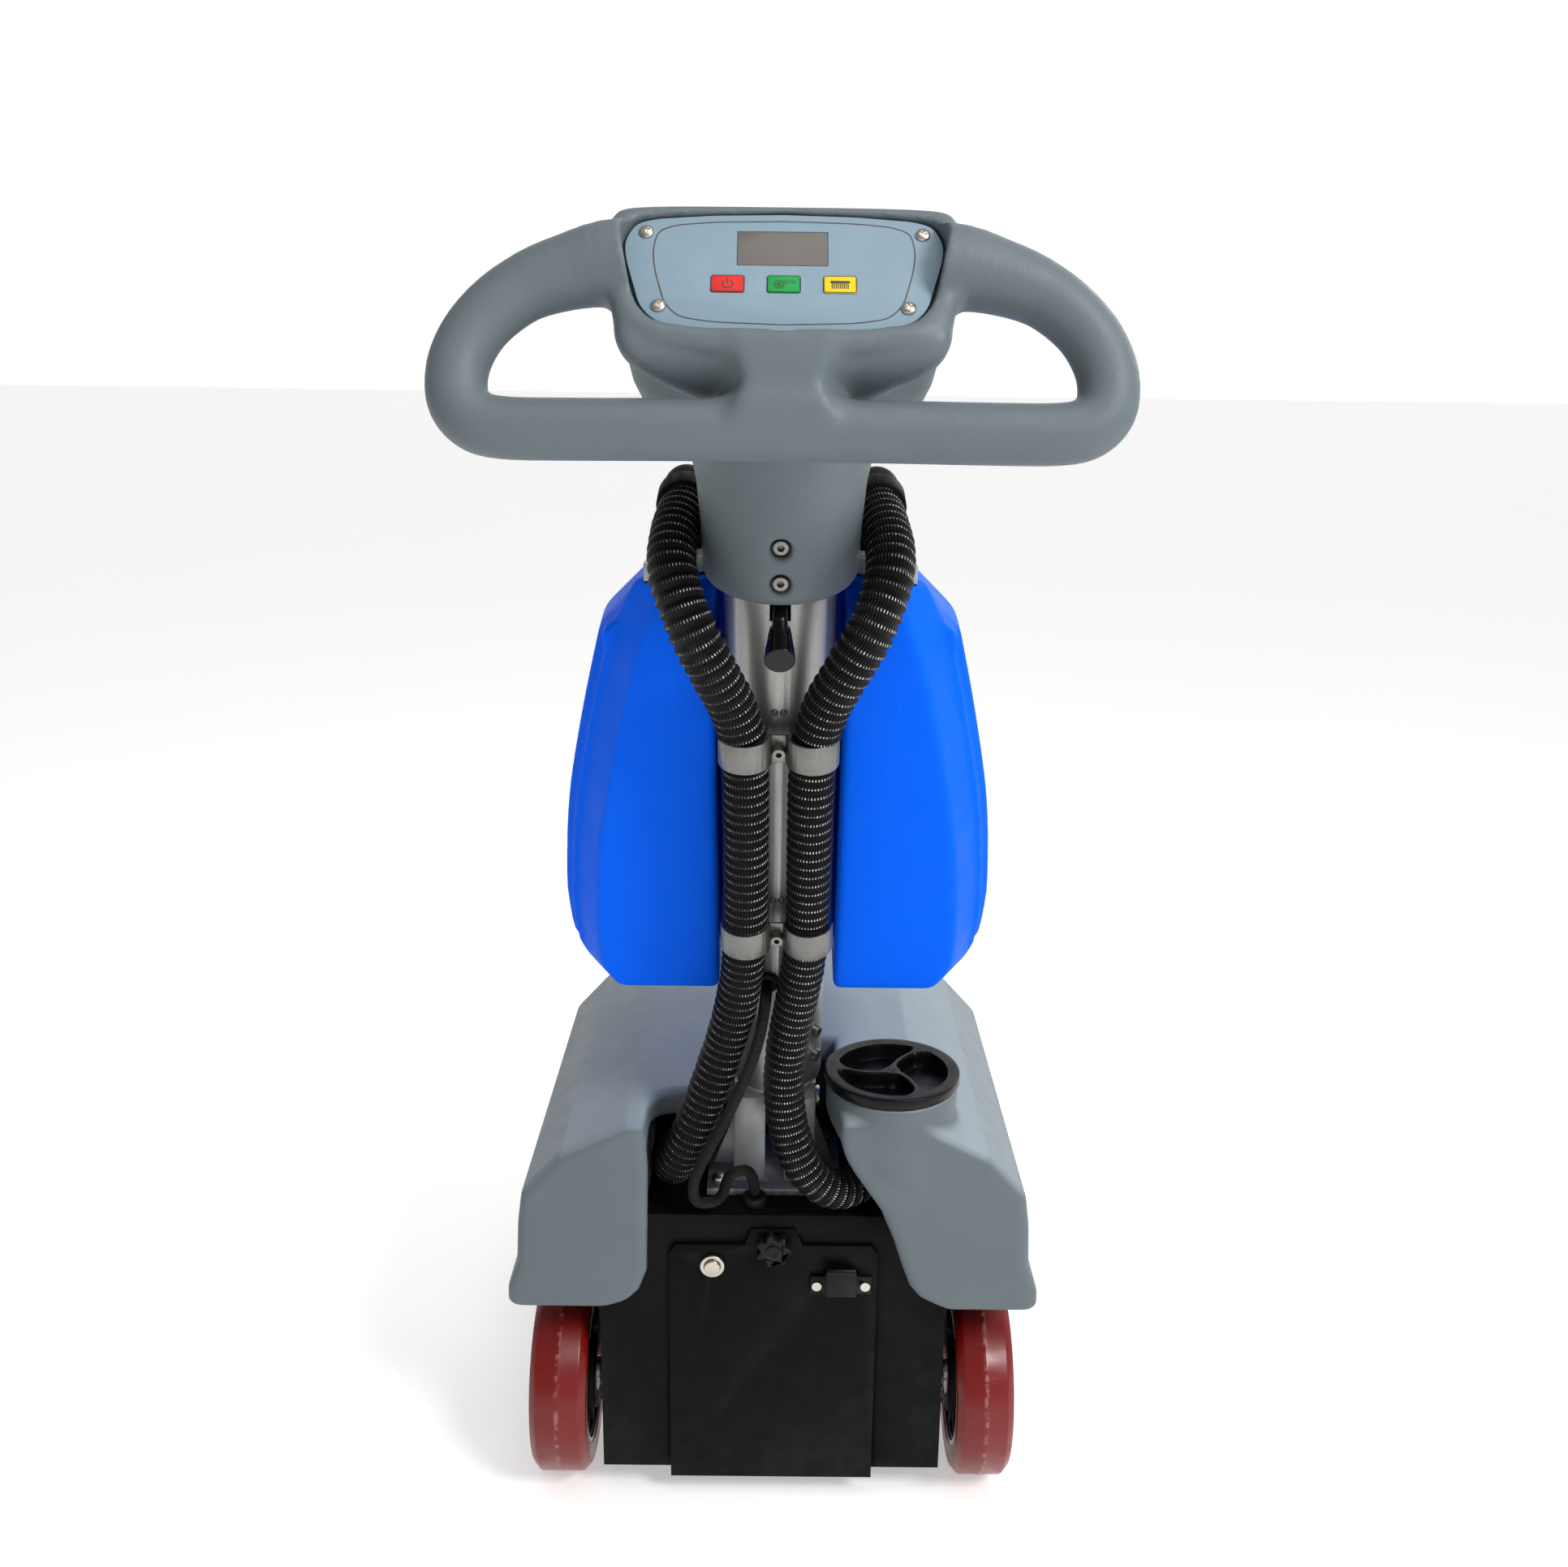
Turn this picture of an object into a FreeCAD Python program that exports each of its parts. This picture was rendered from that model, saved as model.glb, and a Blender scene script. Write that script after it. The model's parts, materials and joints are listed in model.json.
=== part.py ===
import FreeCAD, Part
import math
import os
import re

os.makedirs("parts", exist_ok=True)

# Wet dry floor scrubber, in millimetres. +X is the operator's right, +Y is forward and +Z is up.
# The operator stands on the -Y side. The floor is Z = 0 and the origin is under the middle of the machine.
SIZES = {
    # chassis
    "box_half": 144, "box_back": -142, "box_front": -36, "box_low": 31, "box_high": 277,
    "platform_front": 150, "platform_low": 175, "sheet_wall": 3,
    "door_half": 80, "door_low": 42, "door_high": 246,
    "cover_half": 86, "cover_low": 23, "cover_high": 251, "cover_thick": 3,
    "battery_half": 70, "battery_deep": 84, "battery_high": 165,
    # wheels
    "wheel_radius": 85, "wheel_half": 24, "wheel_x": 180, "axle_y": -82, "axle_radius": 10,
    "hub_radius": 62, "bearing_radius": 20, "running_gap": 0.05,
    # scrubbing head
    "brush_y": 195.9, "deck_radius": 187, "deck_wall": 5, "deck_low": 26, "deck_high": 92,
    "brush_radius": 172, "brush_low": 36, "brush_high": 54, "spindle_radius": 12,
    "motor_radius": 62, "skirt_radius": 190,
    "squeegee_in": 200, "squeegee_out": 212, "squeegee_low": 28, "squeegee_high": 60,
    "guide_radius": 5, "guide_x": 60,
    # steering column, along its own axis from the hinge pin
    "lean": 17.6, "pin_y": -64.2, "pin_z": 345, "pin_radius": 6,
    "tube_radius": 38, "tube_wall": 2, "tube_low": 42, "tube_high": 575,
    "slot_half": 7, "slot_low": 474, "slot_high": 490,
    "lower_clip": 224, "upper_clip": 387, "clip_tall": 22, "clip_thick": 2,
    "hose_radius": 16.5, "hose_side": 23, "hose_behind": 55.5, "cuff_radius": 19, "cable_radius": 4.5,
    # recovery tank, in the column's frame
    "tank_back": -15, "tank_wall": 4,
    "groove_half": 46, "groove_deep": 46, "rim_half": 92, "rim_z": 806, "lid_z": 808, "lid_top": 820,
    # solution tank
    "tunnel_half": 104, "tunnel_high": 345,
    "pocket_high": 416,
    "neck_x": 95.5, "neck_y": -108, "neck_radius": 54, "neck_high": 383, "bore_radius": 48.5,
    "cap_radius": 55, "cap_low": 385, "cap_high": 393.5, "plug_radius": 47.9, "plug_low": 372,
    # handle head
    "head_half": 96, "grip_radius": 17, "handle_tilt": 20, "handle_y": -368, "handle_z": 915,
    "panel_tilt": 38, "panel_y": -345, "panel_z": 1000, "panel_up": 30, "panel_thick": 2.5,
}

doc = FreeCAD.newDocument("FloorScrubber")
sheet = doc.addObject("Spreadsheet::Sheet", "Sheet")
for row, (alias, value) in enumerate(SIZES.items(), start=1):
    sheet.set("A%d" % row, alias)
    sheet.set("B%d" % row, str(value))
    sheet.setAlias("B%d" % row, alias)
doc.recompute()

V = FreeCAD.Vector
X, Y, Z = V(1, 0, 0), V(0, 1, 0), V(0, 0, 1)
AXIS_TURN = {
    "x": FreeCAD.Rotation(Y, 90),
    "y": FreeCAD.Rotation(X, -90),
    "z": FreeCAD.Rotation(),
}
WORLD = FreeCAD.Placement()
NECK_SCREWS = (507, 532)


def size(alias):
    """A driving dimension, read from the sheet."""
    return float(sheet.get(alias))


LEAN = size("lean")
COLUMN = FreeCAD.Placement(V(0, size("pin_y"), size("pin_z")), FreeCAD.Rotation(X, LEAN))
HANDLE = FreeCAD.Placement(V(0, size("handle_y"), size("handle_z")),
                           FreeCAD.Rotation(X, 90 - size("handle_tilt")))
PANEL = FreeCAD.Placement(V(0, size("panel_y"), size("panel_z")), FreeCAD.Rotation(X, 90 - size("panel_tilt")))
nodes = []
column_screws = []


def bound(value):
    """An expression with each sheet alias written out."""
    def full(match):
        word = match.group()
        return "Sheet." + word if word in SIZES else word
    return re.sub(r"[a-z_]+", full, str(value))


def bind(thing, **formulas):
    """Bind properties of an object to expressions of the sheet."""
    for path, formula in formulas.items():
        thing.setExpression(path.replace("__", "."), bound(formula))
    return thing


def place_at(thing, at, turn=None):
    """Put an object's base at a point whose coordinates are expressions."""
    if turn is not None:
        thing.Placement = FreeCAD.Placement(V(), turn)
    for letter, formula in zip("xyz", at):
        thing.setExpression("Placement.Base." + letter, bound(formula))
    return thing


def block(name, x, y, z):
    """A box between two expressions along each axis."""
    thing = doc.addObject("Part::Box", name)
    spans = ["(%s) - (%s)" % (high, low) for low, high in (x, y, z)]
    bind(thing, Length=spans[0], Width=spans[1], Height=spans[2])
    return place_at(thing, (x[0], y[0], z[0]))


def posed(thing, frame):
    """Carry an object, with its own base, into another frame."""
    doc.recompute()
    own = thing.Placement
    for letter in "xyz":
        thing.setExpression("Placement.Base." + letter, None)
    thing.Placement = frame.multiply(own)
    return thing


def rod(name, radius, length, at, axis="z"):
    """A cylinder from a base centre along an axis."""
    thing = doc.addObject("Part::Cylinder", name)
    bind(thing, Radius=radius, Height=length)
    return place_at(thing, at, AXIS_TURN[axis])


def cone(name, low_radius, high_radius, length, at, axis="z"):
    thing = doc.addObject("Part::Cone", name)
    bind(thing, Radius1=low_radius, Radius2=high_radius, Height=length)
    return place_at(thing, at, AXIS_TURN[axis])


def join(name, *things):
    thing = doc.addObject("Part::MultiFuse", name)
    thing.Shapes = list(things)
    return thing


def group(name, *things):
    """Separate solids that share one node."""
    thing = doc.addObject("Part::Compound", name)
    thing.Links = list(things)
    return thing


def cut(name, base, *tools):
    thing = doc.addObject("Part::Cut", name)
    thing.Base = base
    thing.Tool = tools[0] if len(tools) == 1 else join(name + "_tools", *tools)
    return thing


def common(name, *things):
    thing = doc.addObject("Part::MultiCommon", name)
    thing.Shapes = list(things)
    return thing


def ring(name, outer, inner, length, at, axis="z"):
    """A tube between two radii, with the inner bore running past both faces."""
    solid = rod(name + "_outer", outer, length, at, axis)
    start = list(at)
    index = "xyz".index(axis)
    start[index] = "(%s) - 1" % at[index]
    return cut(name, solid, rod(name + "_bore", inner, "(%s) + 2" % length, start, axis))


def sketch_on(body, plane_role, points):
    """A closed sketch of straight lines on one of the body's own origin planes."""
    sketch = body.newObject("Sketcher::SketchObject", body.Name + "_sketch")
    plane = [feature for feature in body.Origin.OriginFeatures if feature.Role == plane_role][0]
    sketch.AttachmentSupport = [(plane, "")]
    sketch.MapMode = "FlatFace"
    for start, end in zip(points, points[1:] + points[:1]):
        sketch.addGeometry(Part.LineSegment(V(start[0], start[1], 0), V(end[0], end[1], 0)), False)
    return sketch


def turned(name, points):
    """A body turned about Z from a half outline of (radius, height) points."""
    body = doc.addObject("PartDesign::Body", name)
    feature = body.newObject("PartDesign::Revolution", name + "_turn")
    feature.Profile = sketch_on(body, "XZ_Plane", points)
    feature.ReferenceAxis = (feature.Profile[0], ["V_Axis"])
    feature.Angle = 360
    body.Tip = feature
    return body


def padded(name, plane_role, points, length, middle=True):
    """A body padded from a closed outline, with its length bound to the sheet."""
    body = doc.addObject("PartDesign::Body", name)
    feature = body.newObject("PartDesign::Pad", name + "_pad")
    feature.Profile = sketch_on(body, plane_role, points)
    feature.Midplane = middle
    feature.setExpression("Length", bound(length))
    body.Tip = feature
    return body


def mirrored(points):
    """A half outline with positive x, and its mirror image, as one closed outline."""
    return points + [(-x, y) for x, y in reversed(points)]


def spec(thing, node, frame=WORLD):
    """Take an object as a finished sub-part: its Label names its file."""
    if frame is not WORLD:
        if thing.TypeId in ("Part::Box", "Part::Cylinder"):
            thing = group(node + "_placed", thing)
        thing.Placement = frame.multiply(thing.Placement)
    thing.Label = node
    nodes.append(thing)
    return thing


def rounded_path(points):
    """Straight runs joined by tangent arcs, each as large as its two runs allow."""
    edges, radii = [], []
    start = points[0]
    for before, corner, after in zip(points, points[1:], points[2:]):
        coming, going = corner - before, after - corner
        turn = coming.getAngle(going)
        reach = 0.45 * min(coming.Length, going.Length)
        radii.append(reach / math.tan(turn / 2))
        coming.normalize()
        going.normalize()
        enter, leave = corner - coming * reach, corner + going * reach
        middle_line = (going - coming).normalize()
        sagitta = radii[-1] * (1 / math.cos(turn / 2) - 1)
        edges.append(Part.LineSegment(start, enter).toShape())
        edges.append(Part.Arc(enter, corner + middle_line * sagitta, leave).toShape())
        start = leave
    edges.append(Part.LineSegment(start, points[-1]).toShape())
    return Part.Wire(edges), radii


def swept(name, points, radius, closed_ends=True):
    """A round tube along a rounded path."""
    path, radii = rounded_path(points)
    circle = Part.Circle(points[0], points[1] - points[0], radius).toShape()
    solid = path.makePipeShell([Part.Wire([circle])], closed_ends, False)
    expected = math.pi * radius ** 2 * path.Length
    print("%s: length %.1f mm, radii %s, volume ratio %.4f"
          % (name, path.Length, [round(value) for value in radii], solid.Volume / expected))
    thing = doc.addObject("Part::Feature", name)
    thing.Shape = solid
    return thing


def in_column(x, forward, along):
    """A point of the column's frame, in the machine's frame."""
    return COLUMN.multVec(V(x, forward, along))


# ---------------------------------------------------------------- chassis
def chassis_box():
    """Bent sheet steel: a rear battery box and a platform over the scrubbing head."""
    lower = block("box_outer", ("-box_half", "box_half"), ("box_back", "box_front"), ("box_low", "box_high"))
    upper = block("platform_outer", ("-box_half", "box_half"), ("box_front - 1", "platform_front"),
                  ("platform_low", "box_high"))
    room = block("box_room", ("sheet_wall - box_half", "box_half - sheet_wall"),
                 ("box_back + sheet_wall", "box_front - sheet_wall"),
                 ("box_low + sheet_wall", "box_high - sheet_wall"))
    loft = block("platform_room", ("sheet_wall - box_half", "box_half - sheet_wall"),
                 ("box_front - sheet_wall - 1", "platform_front - sheet_wall"),
                 ("platform_low + sheet_wall", "box_high - sheet_wall"))
    door = block("box_door", ("-door_half", "door_half"), ("box_back - 1", "box_back + sheet_wall + 1"),
                 ("door_low", "door_high"))
    tapped = rod("knob_hole", 4.3, 8, (0, "box_back - 1", 252.5), "y")
    boss = ring("knob_boss", 9, 4.3, 8, (0, "box_back + sheet_wall", 252.5), "y")
    shell = cut("chassis_shell", join("chassis_outer", lower, upper), room, loft, door, tapped)
    spec(join("chassis", shell, boss), "chassis_box")


def battery_drawer():
    """The rear cover plate with its tray and battery, which slides out backwards."""
    half, low, high = size("cover_half"), size("cover_low"), size("cover_high")
    outline = mirrored([(half, low), (half, high - 8), (half - 6, high), (24, high), (18, high + 15)])
    plate = padded("cover", "XZ_Plane", outline, "cover_thick")
    place_at(plate, (0, "box_back - cover_thick / 2 - 0.3", 0))
    holes = [rod("cover_knob_hole", 6, 10, (0, "box_back - 8", 252.5), "y"),
             rod("cover_button_hole", 8, 10, (-50, "box_back - 8", 233), "y"),
             block("cover_inlet_hole", (42, 70), ("box_back - 8", "box_back + 2"), (206, 229))]
    spec(cut("cover_cut", plate, *holes), "drawer_plate")
    tray = block("tray_solid", (-76, 76), ("box_back - 0.3", "box_front - 8"), (46, 90))
    tray_room = block("tray_room", (-74, 74), ("box_back + 3", "box_front"), (48, 100))
    spec(cut("tray", tray, tray_room), "battery_tray")
    spec(block("battery", ("-battery_half", "battery_half"), ("box_back + 8", "box_back + 8 + battery_deep"),
               (48, "48 + battery_high")), "battery_pack")


def star_knob():
    """A lobed knob with a threaded stud that locks the battery drawer."""
    body = doc.addObject("PartDesign::Body", "knob")
    sketch = body.newObject("Sketcher::SketchObject", "knob_sketch")
    plane = [feature for feature in body.Origin.OriginFeatures if feature.Role == "XZ_Plane"][0]
    sketch.AttachmentSupport = [(plane, "")]
    sketch.MapMode = "FlatFace"
    sketch.addGeometry(Part.Circle(V(0, 0, 0), Z, 11.5), False)
    core = body.newObject("PartDesign::Pad", "knob_core")
    core.Profile = sketch
    core.Length = 14
    lobe_sketch = body.newObject("Sketcher::SketchObject", "lobe_sketch")
    lobe_sketch.AttachmentSupport = [(plane, "")]
    lobe_sketch.MapMode = "FlatFace"
    lobe_sketch.addGeometry(Part.Circle(V(11, 0, 0), Z, 4), False)
    lobe = body.newObject("PartDesign::Pad", "knob_lobe")
    lobe.Profile = lobe_sketch
    lobe.Length = 14
    doc.recompute()
    lobes = body.newObject("PartDesign::PolarPattern", "knob_lobes")
    lobes.Originals = [lobe]
    lobes.Axis = (sketch, ["N_Axis"])
    lobes.Angle = 360
    lobes.Occurrences = 7
    body.Tip = lobes
    place_at(body, (0, "box_back - cover_thick - 1.6", 252.5))
    stud = rod("stud", 4, 21, (0, "box_back - cover_thick - 12", 252.5), "y")
    spec(join("knob_with_stud", body, stud), "star_knob")


def drawer_fittings():
    """Push button, charging inlet and its sprung flap on the cover plate."""
    face = "box_back - cover_thick - 0.3"
    spec(ring("bezel", 10, 6.6, "4", (-50, face + " - 4", 233), "y"), "button_bezel")
    spec(rod("drive_button", 6.4, 6, (-50, face + " - 6.5", 233), "y"), "power_button")
    inlet_body = block("inlet_body", (43, 69), (face + " - 5", "box_back + 7"), (207, 228))
    inlet_room = block("inlet_room", (46, 66), (face + " - 7", "box_back + 3"), (210, 225))
    ears = [block("inlet_ear_%d" % index, (x, x + 12), (face + " - 3", face), (208, 224))
            for index, x in enumerate((31, 69))]
    pins = [rod("inlet_pin_%d" % index, 2, 12, (x, "box_back - 8", 217.5), "y") for index, x in enumerate((51, 61))]
    spec(join("inlet", cut("inlet_shell", join("inlet_solid", inlet_body, *ears), inlet_room), *pins),
         "charge_socket")
    lid = block("flap_lid", (44, 68), (face + " - 8", face + " - 5.5"), (208, 230))
    barrel = rod("flap_barrel", 2.6, 24, (44, face + " - 7", 232), "x")
    spec(join("flap", lid, barrel), "socket_flap")
    spec(group("inlet_screws", *[
        rod("inlet_screw_%d" % index, 4, 2.4, (x, face + " - 5.4", 216), "y") for index, x in enumerate((36, 76))
    ]), "socket_screws")


def inside_the_platform():
    """Vacuum motor, its fan, the water pump and the motor controller."""
    housing = ring("vacuum_ring", 42, 38, 84, (0, 55, 182))
    cap = cut("vacuum_cap", rod("vacuum_cap_disc", 38, 3, (0, 55, 263)), rod("vacuum_eye", 14, 5, (0, 55, 262)))
    floor = cut("vacuum_floor", rod("vacuum_floor_disc", 38, 30, (0, 55, 182)),
                rod("vacuum_shaft_hole", "5 + running_gap", 32, (0, 55, 181)))
    spec(join("vacuum", housing, cap, floor), "vacuum_motor")
    spec(join("fan", rod("fan_shaft", 5, 50, (0, 55, 190)), rod("fan_disc", 34, 4, (0, 55, 236)),
              rod("fan_top", 34, 2, (0, 55, 254)),
              *[block("fan_blade_%d" % index, x, y, (240, 254)) for index, (x, y) in enumerate((
                  ((-33, -8), (54, 56)), ((8, 33), (54, 56)), ((-1, 1), (22, 47)), ((-1, 1), (63, 88))))]),
         "vacuum_fan")
    spec(join("pump", block("pump_body", (70, 120), (20, 90), (178, 226)), rod("pump_head", 18, 26, (95, 90, 202), "y")),
         "water_pump")
    spec(block("controller", (-125, -65), (5, 110), (178, 212)), "motor_controller")


# ---------------------------------------------------------------- wheels
def wheels():
    """Solid tyres on hubs that run on sleeve bearings on two stub axles."""
    axles, bearings = [], []
    for side, sign in (("left", -1), ("right", 1)):
        turn = FreeCAD.Rotation(Y, 90 * sign)
        centre = FreeCAD.Placement(V(sign * size("wheel_x"), size("axle_y"), size("wheel_radius")), turn)
        radius, half, hub = size("wheel_radius"), size("wheel_half"), size("hub_radius")
        bearing = size("bearing_radius")
        tyre = turned(side + "_tyre_body", [
            (hub, -22), (radius - 7, -half), (radius, -half + 5), (radius, half - 5), (radius - 7, half), (hub, 22)])
        spec(tyre, side + "_tyre", centre)
        wheel = turned(side + "_hub_body", [
            (bearing, -26), (34, -26), (34, -12), (54, -10), (54, -22), (hub, -22), (hub, 22), (54, 22), (54, 10),
            (34, 12), (34, 18), (bearing, 18)])
        spec(wheel, side + "_hub", centre)
        axle = turned(side + "_axle", [(0, -36), (28, -36), (28, -30), (10, -30), (10, 19), (15, 19), (15, 22),
                                       (11, 25), (0, 25)])
        axle.Placement = centre
        axles.append(axle)
        for index, start in enumerate((-26, 8)):
            bearing_ring = turned("%s_bearing_%d" % (side, index), [
                (size("axle_radius"), start), (bearing - size("running_gap"), start),
                (bearing - size("running_gap"), start + 10), (size("axle_radius"), start + 10)])
            bearing_ring.Placement = centre
            bearings.append(bearing_ring)
    spec(group("axles", *axles), "stub_axles")
    spec(group("bearings", *bearings), "wheel_bearings")


# ---------------------------------------------------------------- scrubbing head
def rear_arc(name, outer, inner, low, high):
    """The rear stretch of a ring about the brush axis."""
    at = (0, "brush_y", low)
    whole = ring(name + "_ring", outer, inner, "(%s) - (%s)" % (high, low), at)
    keep = block(name + "_keep", (-260, 260), ("brush_y - 260", "brush_y - 60"),
                 ("(%s) - 1" % low, "(%s) + 1" % high))
    return common(name, whole, keep)


def scrubbing_head():
    """Brush deck, its motor, the brush with its bristles and the skirt."""
    wall = cut("deck_hollow", rod("deck_outer", "deck_radius", "deck_high - deck_low", (0, "brush_y", "deck_low")),
               rod("deck_inner", "deck_radius - deck_wall", "deck_high - deck_low - 5",
                   (0, "brush_y", "deck_low - 1")),
               rod("deck_eye", 26, 30, (0, "brush_y", 80)))
    posts = [rod("post_%d" % index, 8, "platform_low - deck_high", (x, y, "deck_high"))
             for index, (x, y) in enumerate(((-110, 60), (110, 60), (-110, 135), (110, 135)))]
    spec(join("deck", wall, *posts), "brush_deck")
    motor = join("motor_solid", rod("motor_case", "motor_radius", 74, (0, "brush_y", "deck_high")),
                 rod("motor_gearbox", 34, 16, (0, "brush_y", 166)))
    keep = block("motor_keep", (-90, 90), ("platform_front + 3", 290), (90, 200))
    spec(cut("motor_cut", common("motor_body", motor, keep), rod("motor_bore", 26, 14, (0, "brush_y", 91))),
         "brush_motor")
    spec(join("hub", rod("hub_spindle", "spindle_radius", 44, (0, "brush_y", "brush_high")),
              rod("hub_flange", 40, 8, (0, "brush_y", "brush_high"))), "brush_hub")
    spec(rod("disc", "brush_radius", "brush_high - brush_low", (0, "brush_y", "brush_low")), "brush_disc")
    spec(ring("bristle_ring", "brush_radius - 2", 60, "brush_low", (0, "brush_y", 0)), "brush_bristles")
    spec(ring("skirt", "skirt_radius", "deck_radius", 34, (0, "brush_y", 10)), "splash_skirt")


def squeegee():
    """Curved squeegee behind the brush, lifting on two guide rods."""
    guides = [(x, "box_front + 16") for x in ("-guide_x", "guide_x")]
    body = rear_arc("squeegee_half", "squeegee_out", "squeegee_in", "squeegee_low", "squeegee_high")
    lugs = [block("lug_%d" % index, ("%s - 12" % x, "%s + 12" % x), ("box_front + 5", "box_front + 28"),
                  (40, "squeegee_high")) for index, (x, _) in enumerate(guides)]
    bores = [rod("lug_bore_%d" % index, "guide_radius + running_gap", 60, (x, y, 20))
             for index, (x, y) in enumerate(guides)]
    inside = rod("lug_trim", "squeegee_in", 60, (0, "brush_y", 30))
    spec(cut("squeegee_cut", join("squeegee_solid", body, *lugs), inside, *bores), "squeegee_body")
    spec(group("blades", rear_arc("front_blade", "squeegee_in + 4", "squeegee_in + 1", 0, "squeegee_low"),
               rear_arc("rear_blade", "squeegee_out - 1", "squeegee_out - 4", 0, "squeegee_low")),
         "squeegee_blades")
    spec(group("guide_rods", *[
        rod("guide_rod_%d" % index, "guide_radius", "platform_low - 34", (x, y, 34))
        for index, (x, y) in enumerate(guides)
    ]), "squeegee_guides")


# ---------------------------------------------------------------- solution tank
def solution_tank():
    """Rotomoulded saddle tank over the wheels, hollow, with its filler neck on the right."""
    outline = mirrored([(217, 200), (218, 212), (209, 242), (207, 278), (203, 307), (171, 341), (118, 367), (60, 371)])
    front_view = padded("saddle_front_view", "XZ_Plane", outline, "2 * 400")
    side = [(-160, 200), (-160, 364), (-154, 372), (186, 372), (200, 352), (200, 200)]
    side_view = padded("saddle_side_view", "YZ_Plane", side, "2 * 260")
    inner_outline = mirrored([(211, 206), (212, 214), (204, 242), (202, 277), (198, 304), (168, 336), (117, 361.5),
                              (60, 365.5)])
    inner_side = [(-154, 206), (-154, 361), (-151, 366), (183, 366), (194, 349), (194, 206)]
    cavity = common("saddle_cavity", padded("cavity_front_view", "XZ_Plane", inner_outline, "2 * 400"),
                    padded("cavity_side_view", "YZ_Plane", inner_side, "2 * 260"))
    outer_gaps = [
        block("under_gap", ("-box_half - 2", "box_half + 2"), (-143, 260), (190, "box_high + 1")),
        block("tunnel_gap", ("-tunnel_half", "tunnel_half"), (-170, 40), (190, "tunnel_high")),
        block("column_gap", (-52, 52), (-170, -8), ("tunnel_high - 1", 400)),
        block("hose_pocket", (-100, -51), (-170, -100), ("tunnel_high - 1", "pocket_high")),
    ]
    wall = 5
    inner_keep = [
        block("under_keep", ("-box_half - 2 - %d" % wall, "box_half + 2 + %d" % wall), (-143 - wall, 270),
              (180, "box_high + 1 + %d" % wall)),
        block("tunnel_keep", ("-tunnel_half - %d" % wall, "tunnel_half + %d" % wall), (-180, 40 + wall),
              (180, "tunnel_high + %d" % wall)),
        block("column_keep", (-52 - wall, 52 + wall), (-180, -8 + wall), ("tunnel_high", 410)),
        block("pocket_keep", (-100 - wall, -51), (-180, -100 + wall), ("tunnel_high", "pocket_high + %d" % wall)),
    ]
    shell = cut("saddle_solid", common("saddle_outer", front_view, side_view), *outer_gaps)
    room = cut("saddle_room", cavity, *inner_keep)
    neck = rod("filler_neck", "neck_radius", "neck_high - tunnel_high", ("neck_x", "neck_y", "tunnel_high"))
    bore = rod("filler_bore", "bore_radius", 60, ("neck_x", "neck_y", "tunnel_high + 6"))
    spec(cut("saddle_tank", join("saddle_with_neck", shell, neck), room, bore), "solution_tank")


def filler_cap():
    """Screw cap: a flat rim over a plug that fills the neck, with three deep pockets between its ribs."""
    rim = rod("cap_rim", "cap_radius", "cap_high - cap_low", ("neck_x", "neck_y", "cap_low"))
    plug = rod("cap_plug", "plug_radius", "cap_low - plug_low + 1", ("neck_x", "neck_y", "plug_low"))
    pocket_deep, rib_drop = 13, 1
    dish = rod("cap_dish", "plug_radius - 3.4", pocket_deep + 1, ("neck_x", "neck_y", "cap_high - %d" % pocket_deep))
    hub = rod("cap_hub", 7, pocket_deep - rib_drop, ("neck_x", "neck_y", "cap_high - %d" % pocket_deep))
    floor = V(size("neck_x"), size("neck_y"), size("cap_high") - pocket_deep)
    ribs = []
    for index in range(3):
        rib = block("cap_rib_%d" % index, (0, 46), (-2, 2), (0, pocket_deep - rib_drop))
        ribs.append(posed(rib, FreeCAD.Placement(floor, FreeCAD.Rotation(Z, 70 + 120 * index))))
    spec(join("cap", cut("cap_shell", join("cap_solid", rim, plug), dish), hub, *ribs), "filler_cap")
    spec(ring("seal", "neck_radius - 1", "bore_radius + 0.3", 1.6, ("neck_x", "neck_y", "neck_high + 0.2")), "cap_seal")


# ---------------------------------------------------------------- column and hinge
def hinge_bracket():
    """Cast bracket on the box: two cheeks with flared feet that hold the hinge pin."""
    base = block("bracket_base", (-56, 56), (-112, -20), ("box_high", "box_high + 6"))
    cheek = [(-98, 283), (-84, 318), (-84, 352), (-76, 363), (-50, 363), (-42, 352), (-42, 318), (-28, 283)]
    cheeks = []
    for index, low in enumerate((-34, 8)):
        plate = padded("cheek_%d" % index, "YZ_Plane", cheek, 26)
        place_at(plate, (low + 13, 0, 0))
        cheeks.append(plate)
    gussets = [padded("gusset_0", "XZ_Plane", [(34, 283), (34, 330), (52, 283)], 10),
               padded("gusset_1", "XZ_Plane", [(-34, 283), (-52, 283), (-34, 330)], 10)]
    for gusset in gussets:
        place_at(gusset, (0, "pin_y", 0))
    pin_hole = rod("bracket_bore", "pin_radius", 90, (-45, "pin_y", "pin_z"), "x")
    spec(cut("bracket", join("bracket_solid", base, *cheeks, *gussets), pin_hole), "hinge_bracket")
    spec(group("bolts", *[
        rod("bolt_%d" % index, 6, 7, (x, y, "box_high + 6")) for index, (x, y) in enumerate(
            ((-46, -102), (46, -102), (-46, -30), (46, -30)))
    ]), "bracket_bolts")
    spec(join("pin", rod("pin_shaft", "pin_radius", 70, (-35, "pin_y", "pin_z"), "x"),
              rod("pin_head", 9, 4, (34, "pin_y", "pin_z"), "x")), "hinge_pin")


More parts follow.
